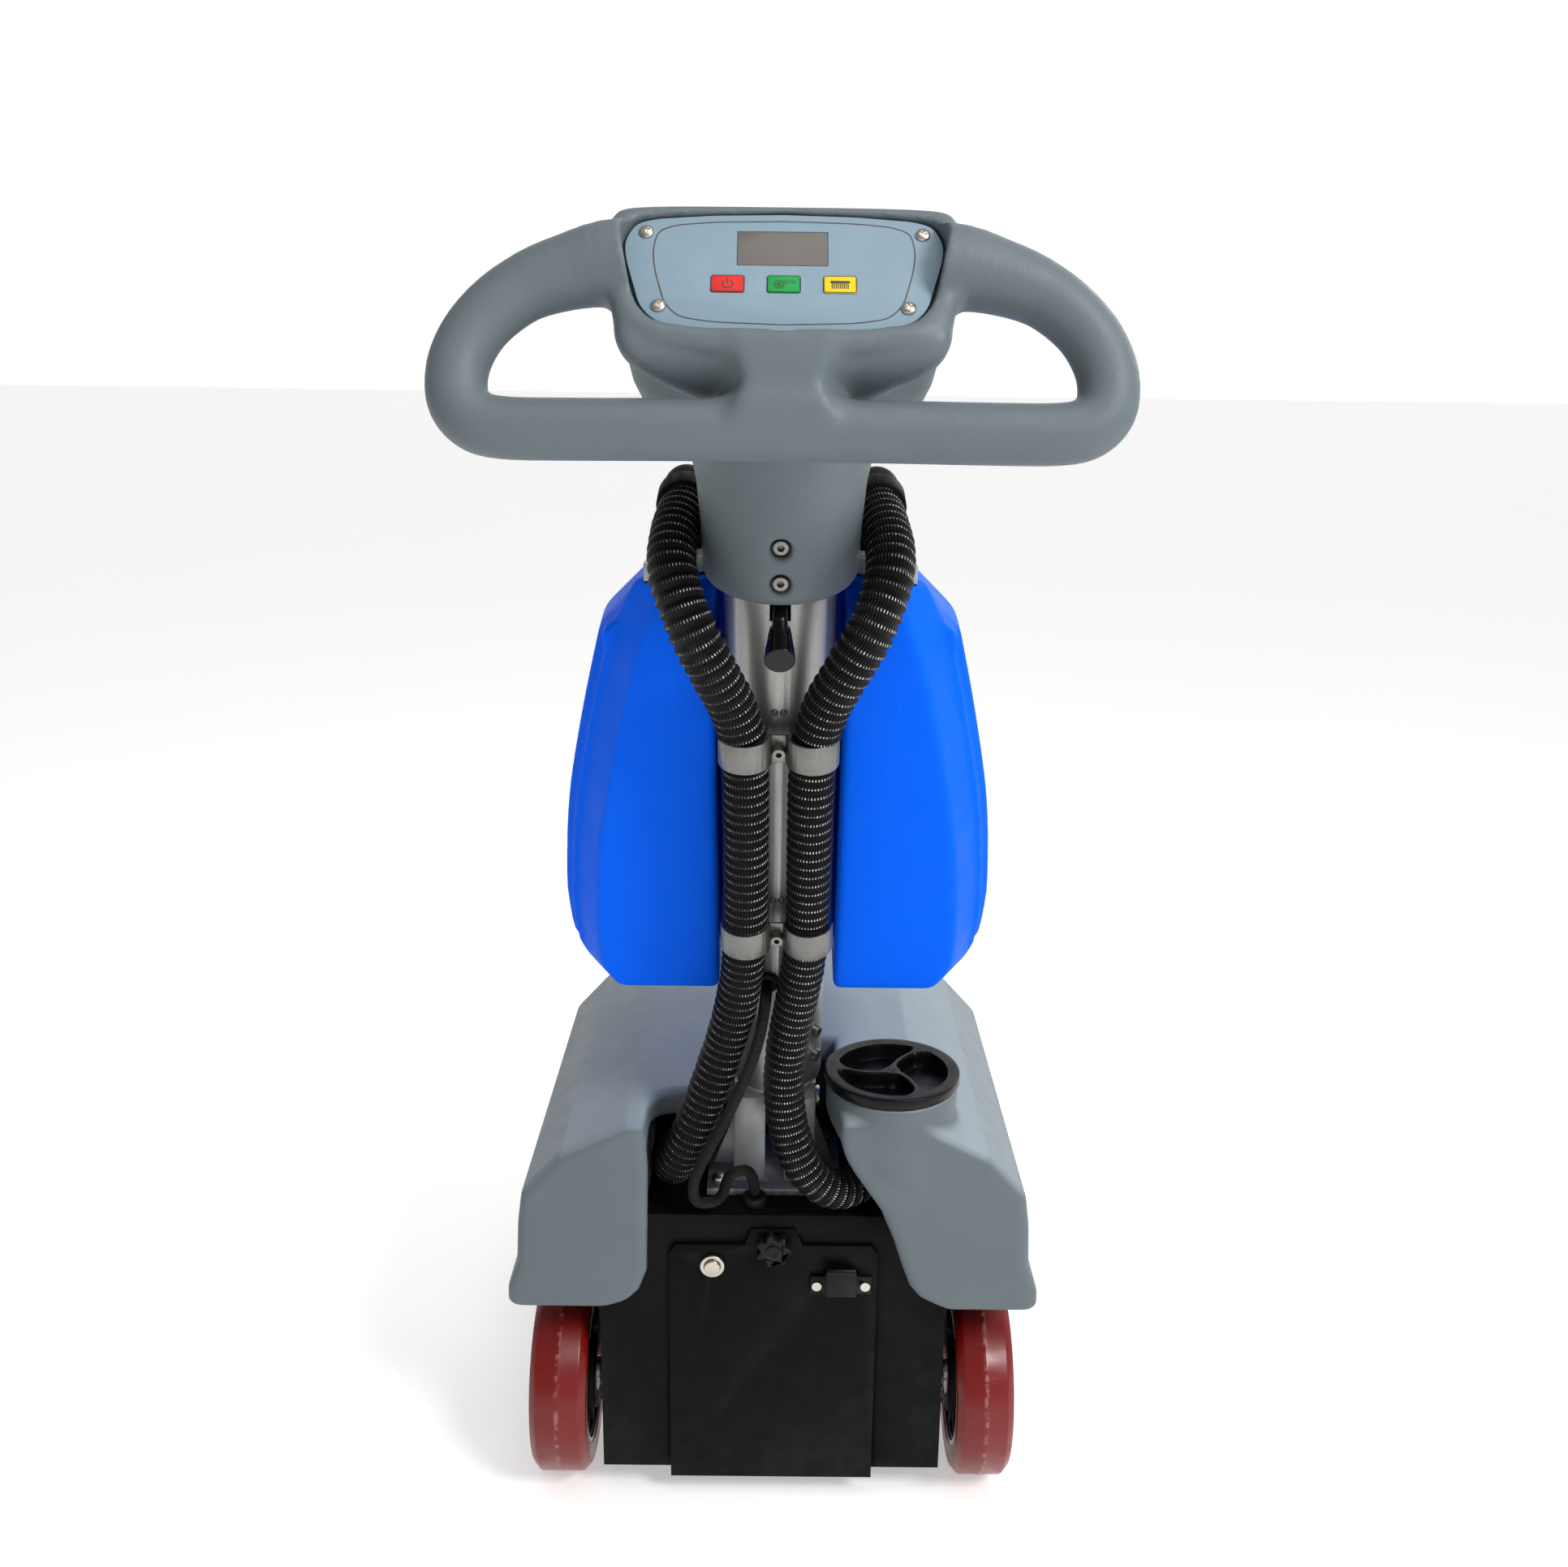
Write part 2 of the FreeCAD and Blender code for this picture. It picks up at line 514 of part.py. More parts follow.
def column():
    """Stainless tube on a cast foot, in the column's own frame."""
    tube = ring("tube_ring", "tube_radius", "tube_radius - tube_wall", "tube_high - tube_low", (0, 0, "tube_low"))
    slot = block("tube_slot", ("-slot_half", "slot_half"), (-45, -20), ("slot_low", "slot_high"))
    grommet_hole = rod("tube_grommet_hole", 8, 30, (-7, -45, 161.5), "y")
    spec(cut("tube", tube, slot, grommet_hole), "column_tube", COLUMN)
    plug = rod("foot_plug", "tube_radius - tube_wall", 46, (0, 0, "tube_low"))
    collar = rod("foot_collar", "tube_radius", 4, (0, 0, "tube_low - 4"))
    tongue = block("foot_tongue", (-7.7, 7.7), (-16, 16), (0, "tube_low"))
    eye = rod("foot_eye", 16, 15.4, (-7.7, 0, 0), "x")
    bore = rod("foot_bore", "pin_radius + running_gap", 30, (-15, 0, 0), "x")
    spec(cut("foot", join("foot_solid", plug, collar, tongue, eye), bore), "column_foot", COLUMN)
    screws = []
    for index, along in enumerate((70, 96)):
        screw = rod("foot_screw_%d" % index, 5, 5, (0, 0, "tube_radius - 0.6"))
        screw.Placement = FreeCAD.Placement(V(0, 0, along), FreeCAD.Rotation(Z, 55)).multiply(
            FreeCAD.Placement(V(0, -size("tube_radius") - 0.02, 0), FreeCAD.Rotation(X, 90)))
        for letter in "xyz":
            screw.setExpression("Placement.Base." + letter, None)
        screws.append(screw)
    column_screws.extend(screws)
    flange = rod("grommet_flange", 8.6, 4, (-7, -42, 161.5), "y")
    sleeve = rod("grommet_sleeve", 7.9, 10, (-7, -40, 161.5), "y")
    hollow = rod("grommet_hollow", "cable_radius", 14, (-7, -43, 161.5), "y")
    spec(cut("grommet", join("grommet_solid", flange, sleeve), hollow), "column_grommet", COLUMN)


def hose_clips():
    """Two strap clips, each with two half-round saddles and a centre tab under a screw."""
    clips, screws = [], []
    for index, alias in enumerate(("lower_clip", "upper_clip")):
        low = "%s - clip_tall / 2" % alias
        saddles = []
        for number, x in enumerate(("-hose_side", "hose_side")):
            at = (x, "-hose_behind", low)
            saddles.append(ring("saddle_%d_%d" % (index, number), "hose_radius + clip_thick", "hose_radius",
                                "clip_tall", at))
        half = block("clip_half_%d" % index, (-60, 60), (-80, "-hose_behind"), ("%s - 1" % low, "%s + clip_tall + 1" % low))
        tab = block("clip_tab_%d" % index, ("-hose_side + hose_radius", "hose_side - hose_radius"),
                    ("-hose_behind - 2", "-hose_behind"), (low, "%s + clip_tall" % low))
        clips.append(join("clip_%d" % index, common("clip_saddles_%d" % index, join("clip_rings_%d" % index, *saddles),
                                                   half), tab))
        screws.append(join("clip_screw_%d" % index,
                           rod("clip_screw_head_%d" % index, 4.4, 8, (0, "-hose_behind - 10", alias), "y"),
                           rod("clip_screw_shank_%d" % index, 2.5, 19.5, (0, "-hose_behind - 2", alias), "y")))
    drilled = [cut("drilled_clip_%d" % index, clip, rod("clip_drill_%d" % index, 2.7, 20,
                                                        (0, "-hose_behind - 8", alias), "y"))
               for index, (clip, alias) in enumerate(zip(clips, ("lower_clip", "upper_clip")))]
    spec(group("clip_pair", *drilled), "hose_clips", COLUMN)
    column_screws.extend(screws)


def release_lever():
    """Lever through the column's slot, and the rod inside the tube that it lifts."""
    pivot = rod("lever_pivot", 4, 12, (-6, -26, 482), "x")
    arm = block("lever_arm", (-4, 4), (-48, -6), (480, 485))
    shank = padded("lever_shank", "YZ_Plane", [(-48, 485), (-43, 480), (-57, 446), (-62, 448)], 9)
    pad = rod("lever_pad", 9.5, 4, (0, -61, 446), "y")
    spec(join("lever", pivot, arm, shank, pad), "release_lever", COLUMN)
    spec(rod("lock_bar", 4, 372, (0, 0, 98)), "lock_rod", COLUMN)


# ---------------------------------------------------------------- hoses and cable
def right_hose_route():
    """From the lid's elbow, round the neck, through both clips and into the base, in the machine's frame."""
    upper = [in_column(*point) for point in (
        (66, 33, 523), (75, -24, 520), (63, -61, 488), (43, -64, 450), (30, -58.5, 420), (23, -55.5, 387),
        (22.4, -55.2, 330), (23, -55.5, 224), (18, -53, 170))]
    lower = [V(*point) for point in ((6, -148, 420), (8, -143, 364), (24, -144, 318), (52, -138, 295),
                                     (82, -106, 295), (84, -58, 297), (84, -12.2, 297))]
    return upper + lower


def left_hose_route():
    upper = [in_column(*point) for point in (
        (-66, 33, 523), (-75, -24, 520), (-61, -61, 488), (-43, -64, 450), (-30, -58.5, 420), (-23, -55.5, 387),
        (-22.4, -55.2, 330), (-23, -55.5, 224), (-27, -53, 170))]
    lower = [V(*point) for point in ((-38, -152, 440), (-54, -145, 388), (-70, -138, 343), (-83, -122, 310),
                                     (-86, -90, 297), (-84, -52, 297), (-84, -12.2, 297))]
    return upper + lower


def cable_route():
    """From the column's grommet, down in a slack loop to the gland on the box."""
    start = [in_column(-7, -42, 161.5), in_column(-8, -60, 156)]
    fall = [V(*point) for point in ((-14, -172, 440), (-34, -164, 385), (-56, -157, 338), (-66, -150, 310),
                                    (-64, -146, 289), (-42, -140, 289), (-38, -133, 310), (-16, -124, 310),
                                    (-16, -124, 285.1))]
    return start + fall


def hoses():
    """Two suction hoses, the control cable, and what their ends fit in."""
    spec(swept("left_hose_tube", left_hose_route(), size("hose_radius")), "left_hose")
    spec(swept("right_hose_tube", right_hose_route(), size("hose_radius")), "right_hose")
    spec(swept("cable_tube", cable_route(), size("cable_radius")), "control_cable")
    cuffs = [ring("cuff_%d" % index, "cuff_radius", "13 + running_gap", 18.6, (x, 33.1, 523), "y")
             for index, x in enumerate((-66, 66))]
    spec(group("cuff_pair", *cuffs), "hose_cuffs", COLUMN)
    sockets = []
    for index, x in enumerate((-84, 84)):
        pipe = rod("socket_pipe_%d" % index, "cuff_radius", 46, (x, -12, 297), "y")
        foot = block("socket_foot_%d" % index, (x - 15, x + 15), (-2, 30), ("box_high", 290))
        sockets.append(join("socket_%d" % index, pipe, foot))
    spec(group("sockets", *sockets), "hose_sockets")
    spec(ring("gland", 10, "cable_radius", 8, (-16, -124, "box_high")), "box_grommet")


# ---------------------------------------------------------------- recovery tank
def level_cutter(name, z_alias, above, reach=300):
    """The part of the column's frame above or below a level height of the machine's frame."""
    height = size(z_alias) - size("pin_z")
    slope, rise = math.sin(math.radians(LEAN)), math.cos(math.radians(LEAN))
    back, front = (height + reach * slope) / rise, (height - reach * slope) / rise
    far = 900 if above else 0
    return padded(name, "YZ_Plane", [(-reach, back), (-reach, far), (reach, far), (reach, front)], "2 * 300")


def shoulder_cutters(name, inset):
    """What lies above the two level shoulders, which fall at 45 degrees from the rim's long sides."""
    cutters = []
    for index, sign in enumerate((-1, 1)):
        across = V(math.sin(math.radians(45)) * sign, 0, math.cos(math.radians(45)))
        edge = V(sign * size("rim_half"), 0, size("rim_z")) - across * inset
        frame = COLUMN.inverse().multiply(FreeCAD.Placement(edge, FreeCAD.Rotation(Y, 45 * sign)))
        cutters.append(posed(block("%s_%d" % (name, index), (-300, 300), (-500, 500), (0, 200)), frame))
    return cutters


def recovery_tank():
    """Rotomoulded tank hung on the front of the column, open at its rim, with a groove for the tube."""
    outline = mirrored([(147, 132), (165, 150), (167, 190), (161, 272), (150, 335), (124, 440), (107, 472), (90, 500)])
    side = [(-15, 132), (-15, 520), (175, 520), (185, 400), (185, 156), (165, 132)]
    outer = common("tank_outer", padded("tank_back_view", "XZ_Plane", outline, "2 * 300"),
                   padded("tank_side_view", "YZ_Plane", side, "2 * 200"))
    inner_outline = mirrored([(143, 136), (161, 153), (163, 190), (157, 272), (146, 334), (120, 438), (103, 470),
                              (86, 500)])
    inner_side = [(-11, 136), (-11, 520), (171, 520), (181, 400), (181, 158), (162, 136)]
    inner = common("tank_inner", padded("tank_inner_back", "XZ_Plane", inner_outline, "2 * 300"),
                   padded("tank_inner_side", "YZ_Plane", inner_side, "2 * 200"))
    chamfers = []
    for index, sign in enumerate((-1, 1)):
        wedge = padded("tank_chamfer_%d" % index, "XY_Plane",
                       [(sign * 140, -20), (sign * 190, -20), (sign * 190, 40)], "2 * 300")
        place_at(wedge, (0, 0, 250))
        chamfers.append(wedge)
    groove = block("tank_groove", ("-groove_half", "groove_half"), ("tank_back - 5", "groove_deep"), (100, 600))
    groove_keep = block("groove_keep", ("-groove_half - tank_wall", "groove_half + tank_wall"),
                        ("tank_back - 9", "groove_deep + tank_wall"), (90, 610))
    neck_gap = rod("neck_gap", 60, 200, (0, 0, 440))
    solid = cut("tank_solid", outer, *chamfers, groove, level_cutter("above_rim", "rim_z", True), neck_gap,
                *shoulder_cutters("shoulder", 0))
    room = cut("tank_room", inner, groove_keep, rod("neck_keep", 64, 200, (0, 0, 430)),
               *shoulder_cutters("shoulder_keep", size("tank_wall")),
               *[padded("chamfer_keep_%d" % index, "XY_Plane",
                        [(sign * 132, -20), (sign * 190, -20), (sign * 190, 50)], "2 * 600")
                 for index, sign in enumerate((-1, 1))])
    spec(cut("tank", solid, room), "recovery_tank", COLUMN)


def tank_lid():
    """Clear lid on a black gasket, with two elbows that the hose cuffs push on to."""
    plan = mirrored([(91, -12), (91, 168), (83, 178)])
    neck_gap = rod("lid_neck_gap", 62, 200, (0, 0, 420))
    lid_plate = cut("lid_cut", padded("lid_plan", "XY_Plane", plan, "600", False), neck_gap,
                    level_cutter("above_lid", "lid_top", True))
    lid = cut("lid_solid", lid_plate, level_cutter("below_lid", "lid_z", False))
    holes = [rod("lid_hole_%d" % index, 13, 80, (x, 75, 440)) for index, x in enumerate((-66, 66))]
    spec(cut("lid", lid, *holes), "tank_lid", COLUMN)
    elbows = []
    for index, x in enumerate((-66, 66)):
        path = [V(x, 75, 481), V(x, 75, 523), V(x, 52, 523)]
        pipe = swept("elbow_pipe_%d" % index, path, 16)
        spigot = rod("elbow_spigot_%d" % index, 13, 17, (x, 36, 523), "y")
        foot = rod("elbow_foot_%d" % index, 12.9, 17, (x, 75, 466))
        elbows.append(join("elbow_%d" % index, pipe, spigot, foot))
    spec(group("elbow_pair", *elbows), "lid_elbows", COLUMN)


def lid_gasket():
    """Black gasket between the tank's rim and its lid."""
    strip_plan = mirrored([(91, -10), (91, 167), (83, 176)])
    opening = mirrored([(83, 0), (83, 155), (75, 162)])
    body = cut("gasket_plan", padded("gasket_outer", "XY_Plane", strip_plan, "600", False),
               padded("gasket_inner", "XY_Plane", opening, "2 * 610"), rod("gasket_neck_gap", 62, 200, (0, 0, 420)))
    under = level_cutter("under_gasket", "rim_z", False)
    spec(cut("gasket", body, level_cutter("above_gasket", "lid_z", True), under), "lid_gasket", COLUMN)


# ---------------------------------------------------------------- handle head

def head_housing():
    """One-piece handle head: neck, console and the two hand loops."""
    profile = [(-372, 930), (-372, 958), (-366, 970), (-322, 1030), (-314, 1034), (-296, 1032), (-262, 1000),
               (-244, 940), (-250, 885), (-270, 878), (-350, 888)]
    console = padded("console", "YZ_Plane", profile, "2 * head_half")
    neck = cone("head_neck", 52, 57, 130, (0, 0, 496))
    neck.Placement = COLUMN.multiply(FreeCAD.Placement(V(0, 0, 496), FreeCAD.Rotation()))
    for letter in "xyz":
        neck.setExpression("Placement.Base." + letter, None)
    loop = [(0, 0), (-150, 0), (-186, 22), (-168, 66), (-120, 90), (-70, 96)]
    grips = []
    for index, sign in enumerate((1, -1)):
        points = [HANDLE.multVec(V(sign * x, w, 0)) for x, w in loop]
        grips.append(swept("grip_%d" % index, points, size("grip_radius")))
    socket = rod("neck_socket", "tube_radius", 84, (0, 0, 0))
    socket.Placement = COLUMN.multiply(FreeCAD.Placement(V(0, 0, 491), FreeCAD.Rotation()))
    inner = block("board_room", (-80, 80), (-26, 26), (-30, 0))
    recess = block("panel_recess", (-82, 82), ("-panel_up - 3", "panel_up + 3"), (-4, 30))
    for thing in (inner, recess):
        thing.Placement = PANEL.multiply(FreeCAD.Placement(
            V(-size("head_half") + (16 if thing is inner else 14), -26 if thing is inner else -33,
              -30 if thing is inner else -4), FreeCAD.Rotation()))
    seats = []
    for index, along in enumerate(NECK_SCREWS):
        seat = rod("neck_seat_%d" % index, 6.2, 20, (0, 0, 0), "y")
        seat.Placement = COLUMN.multiply(FreeCAD.Placement(V(0, -64, along), AXIS_TURN["y"]))
        seats.append(seat)
    for thing in (socket, inner, recess, *seats):
        for letter in "xyz":
            thing.setExpression("Placement.Base." + letter, None)
    body = cut("head_cut", join("head_solid", console, neck, *grips), socket, inner, recess, *seats)
    spec(body, "head_housing")


def on_panel(name, node, x, y, z):
    """A block in the panel's frame, where z is the height above the recess floor."""
    spec(block(name, x, y, z), node, PANEL)


def control_panel():
    """Panel plate with its window, three buttons, four screws and the board behind it."""
    plate = padded("panel_outline", "XY_Plane", mirrored([(73, -30), (79, 27), (76, 30)]), "panel_thick", False)
    place_at(plate, (0, 0, -4))
    holes = [block("panel_hole_%d" % index, (x - 9.3, x + 9.3), (-14.3, -1.7), (-6, 2))
             for index, x in enumerate((-31, 0, 31))]
    window_hole = block("window_hole", (-27, 27), (5, 27), (-6, 2))
    spec(cut("panel", plate, window_hole, *holes), "control_panel", PANEL)
    on_panel("window", "display_window", (-27, 27), (5, 27), (-4, -1.9))
    for index, (x, node) in enumerate(((-31, "stop_button"), (0, "vacuum_button"), (31, "brush_button"))):
        on_panel("button_%d" % index, node, (x - 9, x + 9), (-14, -2), (-4.5, -0.7))
    spec(group("panel_screw_set", *[
        rod("panel_screw_%d" % index, 4, 2, (x, y, -1.5)) for index, (x, y) in enumerate(
            ((-70, 22), (70, 22), (-66, -22), (66, -22)))
    ]), "panel_screws", PANEL)
    on_panel("board", "control_board", (-70, 70), (-24, 24), (-16, -14))
    column_screws.extend(rod("neck_screw_%d" % index, 5, 6.5, (0, -50.5, along), "y")
                         for index, along in enumerate(NECK_SCREWS))
    spec(group("column_screw_set", *column_screws), "column_screws", COLUMN)


PIECES = (chassis_box, battery_drawer, star_knob, drawer_fittings, inside_the_platform, wheels, scrubbing_head,
          squeegee, solution_tank, filler_cap, hinge_bracket, column, hose_clips, release_lever, hoses,
          recovery_tank, tank_lid, lid_gasket, head_housing, control_panel)
for piece in PIECES:
    piece()
doc.recompute()

for thing in doc.Objects:
    if "Invalid" in thing.State or "Error" in thing.State:
        raise RuntimeError("%s failed: %s" % (thing.Label, thing.State))
for thing in nodes:
    if thing.Shape.isNull() or not thing.Shape.isValid() or not thing.Shape.Solids:
        raise RuntimeError("%s has no valid solid" % thing.Label)
for thing in nodes:
    thing.Shape.exportStep("parts/%s.step" % thing.Label)
print("%d sub-parts written" % len(nodes))
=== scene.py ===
"""Wet dry floor scrubber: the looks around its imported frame, in metres, Z up, the operator on the -Y side."""
import json
import math
import random

import bmesh
import bpy
import numpy as np
import openvdb
from mathutils import Matrix, Vector


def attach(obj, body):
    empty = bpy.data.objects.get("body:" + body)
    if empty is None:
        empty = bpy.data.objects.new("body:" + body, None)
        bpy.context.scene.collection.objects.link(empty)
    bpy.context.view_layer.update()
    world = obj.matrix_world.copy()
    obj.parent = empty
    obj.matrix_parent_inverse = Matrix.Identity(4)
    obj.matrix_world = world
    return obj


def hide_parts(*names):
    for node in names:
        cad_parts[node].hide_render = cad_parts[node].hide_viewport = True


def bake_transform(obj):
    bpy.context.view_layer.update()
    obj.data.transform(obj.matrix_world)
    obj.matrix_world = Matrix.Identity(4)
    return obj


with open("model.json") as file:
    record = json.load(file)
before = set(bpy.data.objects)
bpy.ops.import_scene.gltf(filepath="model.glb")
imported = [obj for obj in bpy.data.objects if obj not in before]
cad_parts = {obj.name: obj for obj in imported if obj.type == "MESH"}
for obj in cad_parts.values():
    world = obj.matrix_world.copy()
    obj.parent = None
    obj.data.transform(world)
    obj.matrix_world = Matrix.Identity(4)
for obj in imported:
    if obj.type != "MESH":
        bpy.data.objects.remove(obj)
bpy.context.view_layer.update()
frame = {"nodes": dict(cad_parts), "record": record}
NODES = frame["nodes"]
MM = 0.001
LEAN, HANDLE_TILT, PANEL_TILT, QUARTER = (math.radians(angle) for angle in (17.6, 70, 52, 90))
PIN_Y, PIN_Z = -64.2, 345
PANEL_Y, PANEL_Z = -345, 1000
NECK_X, NECK_Y = 95.5, -108
NECK_SCREWS = (507, 532)
WHEEL_X, WHEEL_Y, WHEEL_Z = 180, -82, 85
CLIPS = (224, 387)
scene = bpy.context.scene
scene.view_settings.view_transform = "Standard"


def at(x, y, z, turn=0.0, axis="X"):
    """A frame at a point in millimetres, turned about one axis."""
    return Matrix.Translation(Vector((x, y, z)) * MM) @ Matrix.Rotation(turn, 4, axis)


WORLD = Matrix()
COLUMN = at(0, PIN_Y, PIN_Z, LEAN)
HANDLE = at(0, -368, 915, HANDLE_TILT)
PANEL = at(0, PANEL_Y, PANEL_Z, PANEL_TILT)


# ---- materials
def linear(code):
    """A hex colour as linear RGBA."""
    parts = [int(code[i:i + 2], 16) / 255 for i in (1, 3, 5)]
    return tuple(c / 12.92 if c <= 0.04045 else ((c + 0.055) / 1.055) ** 2.4 for c in parts) + (1,)


class Graph:
    """A node tree with short ways to add and join nodes."""

    def __init__(self, tree):
        self.tree = tree

    def add(self, kind, inputs=(), **values):
        """The outputs of a new node, with its inputs linked or set."""
        node = self.tree.nodes.new(kind)
        for key, value in values.items():
            setattr(node, key, value)
        for socket, value in dict(inputs).items():
            if isinstance(value, bpy.types.NodeSocket):
                self.link(value, node.inputs[socket])
            else:
                node.inputs[socket].default_value = value
        return node.outputs

    def link(self, output, target):
        self.tree.links.new(output, target)

    def split(self, vector):
        """The X, Y and Z of a vector, by name."""
        return self.add("ShaderNodeSeparateXYZ", {"Vector": vector})

    def range(self, value, low, high, to_low=0.0, to_high=1.0, kind="LINEAR"):
        inputs = {"Value": value, "From Min": low, "From Max": high, "To Min": to_low, "To Max": to_high}
        return self.add("ShaderNodeMapRange", inputs, interpolation_type=kind)["Result"]

    def math(self, kind, a, b=0.5):
        return self.add("ShaderNodeMath", {0: a, 1: b}, operation=kind)["Value"]

    def times(self, product, *others):
        for other in others:
            product = self.math("MULTIPLY", product, other)
        return product

    def away(self, value, centre):
        """How far a value is from a centre, either way."""
        return self.math("ABSOLUTE", self.math("SUBTRACT", value, centre))


class Finish(Graph):
    """A node material in the making, with short ways to add textures."""

    def __init__(self, name, colour, rough, metal=0.0, **sockets):
        self.material = bpy.data.materials.new(name)
        self.material.use_nodes = True
        super().__init__(self.material.node_tree)
        self.shader = self.tree.nodes["Principled BSDF"].inputs
        self.colour = linear(colour)
        sockets |= {"Base Color": self.colour, "Roughness": rough, "Metallic": metal}
        for socket, value in sockets.items():
            self.shader[socket.replace("_", " ")].default_value = value
        self.place = self.add("ShaderNodeTexCoord")["Object"]
        self.last_colour = self.last_bump = None

    def stretched(self, scale):
        """Object coordinates scaled by an axis triple, for grain that runs one way."""
        return self.add("ShaderNodeMapping", {"Scale": scale, "Vector": self.place})["Vector"]

    def noise(self, scale, detail=2.0, rough=0.5, vector=None):
        inputs = {"Scale": scale, "Detail": detail, "Roughness": rough, "Vector": vector or self.place}
        return self.add("ShaderNodeTexNoise", inputs)["Fac"]

    def cells(self, scale):
        return self.add("ShaderNodeTexVoronoi", {"Scale": scale, "Vector": self.place})["Distance"]

    def patches(self, scale, detail, low, high):
        """A noise mask that is 0 below one level and 1 above another."""
        return self.range(self.noise(scale, detail), low, high)

    def tint(self, mask, colour, strength=1.0):
        """Blend the base colour towards another one where the mask is high."""
        inputs = {"Factor": self.times(mask, strength), 6: self.last_colour or self.colour, 7: linear(colour)}
        self.last_colour = self.add("ShaderNodeMix", inputs, data_type="RGBA")[2]
        self.link(self.last_colour, self.shader["Base Color"])
        return self

    def bump(self, height, depth_mm, strength=1.0):
        inputs = {"Distance": depth_mm * MM, "Strength": strength, "Height": height}
        if self.last_bump:
            inputs["Normal"] = self.last_bump
        self.last_bump = self.add("ShaderNodeBump", inputs)["Normal"]
        self.link(self.last_bump, self.shader["Normal"])
        return self

    def gloss(self, mask, low, high):
        """Roughness that varies with a mask from low to high."""
        self.link(self.range(mask, 0.3, 0.7, low, high), self.shader["Roughness"])
        return self

    def worn(self, colour, start=0.53, end=0.6, strength=0.6):
        """Lighter wear where edges stand out, broken up by noise."""
        edge = self.range(self.add("ShaderNodeNewGeometry")["Pointiness"], start, end)
        return self.tint(self.times(edge, self.patches(90, 3, 0.42, 0.62)), colour, strength)


def moulded(name, colour, dark, light, rough, pebble=420, depth=0.11, shine=0.42):
    """Rotomoulded polyethylene: soft orange peel, fine grit and slow colour drift."""
    look = Finish(name, colour, rough, Specular_IOR_Level=shine)
    look.tint(look.patches(7, 2, 0.35, 0.75), dark, 0.28)
    look.tint(look.patches(850, 2, 0.6, 0.8), light, 0.22)
    look.worn(light, strength=0.35)
    look.bump(look.noise(pebble, 2.5, 0.55), depth)
    look.bump(look.noise(pebble * 3.3, 1), depth * 0.25)
    return look.gloss(look.noise(40, 3), rough - 0.06, rough + 0.1).material


def deck_plastic():
    """The grey tank's plastic, with painted light: paler where its surfaces face up, as if lit from above."""
    look = Finish("grey_deck_polyethylene_painted_top_light", "#616b70", 0.5, Specular_IOR_Level=0.3)
    look.tint(look.patches(9, 3, 0.4, 0.75), "#545d62", 0.4)
    # painted light: up-facing surfaces are tinted paler (#95a1a7), standing in for light falling from above
    up_facing_painted_light = look.split(look.add("ShaderNodeNewGeometry")["Normal"])
    look.tint(look.range(up_facing_painted_light["Z"], 0.3, 0.95), "#95a1a7", 0.9)
    look.bump(look.noise(420, 2), 0.2)
    return look.gloss(look.noise(60, 3), 0.44, 0.56).worn("#b4bec3", 0.53, 0.6, 0.4).material


def satin(name, colour, light, rough, grain=900, depth=0.03, shine=0.5):
    """Moulded or painted surface with a fine texture and rubbed edges."""
    look = Finish(name, colour, rough, Specular_IOR_Level=shine)
    look.tint(look.patches(25, 4, 0.5, 0.8), light, 0.16)
    look.worn(light, strength=0.5)
    look.bump(look.noise(grain, 2), depth)
    return look.gloss(look.noise(60, 3), max(0.05, rough - 0.08), rough + 0.1).material


def brushed(name, colour, rough, direction, tone="#6f7173"):
    """Metal with fine scratches along one direction and faint smears."""
    look = Finish(name, colour, rough, metal=1.0)
    stretch = tuple(1.0 if index == direction else 60.0 for index in range(3))
    grain = look.noise(26, 6, 0.7, look.stretched(stretch))
    look.tint(look.range(grain, 0.3, 0.8), tone, 0.3)
    look.tint(look.patches(18, 3, 0.5, 0.8), tone, 0.25)
    look.bump(grain, 0.02)
    return look.gloss(grain, rough - 0.07, rough + 0.12).material


def polyurethane():
    """Cast red polyurethane: glossy, slightly cloudy, with small bubbles and scuffs."""
    look = Finish("red_polyurethane", "#74100d", 0.3, Coat_Weight=0.18, Coat_Roughness=0.2,
                  Specular_IOR_Level=0.3)
    look.tint(look.patches(22, 4, 0.4, 0.75), "#6a110f", 0.6)
    look.tint(look.range(look.noise(60, 5, 0.7, look.stretched((1, 3, 3))), 0.6, 0.72), "#a04a42", 0.3)
    off = look.away(look.math("ABSOLUTE", look.split(look.place)["X"]), WHEEL_X * MM)
    scuffed = look.times(look.range(off, 0.0004, 0.0026, 1, 0), look.patches(160, 5, 0.47, 0.66))
    look.tint(scuffed, "#b98880", 0.6)
    specks = look.range(look.cells(380), 0.0, 0.13, 1.0, 0.0)
    look.tint(specks, "#c88078", 0.35)
    look.bump(look.noise(30, 3), 0.25, 0.6)
    return look.gloss(look.noise(35, 4), 0.2, 0.5).material


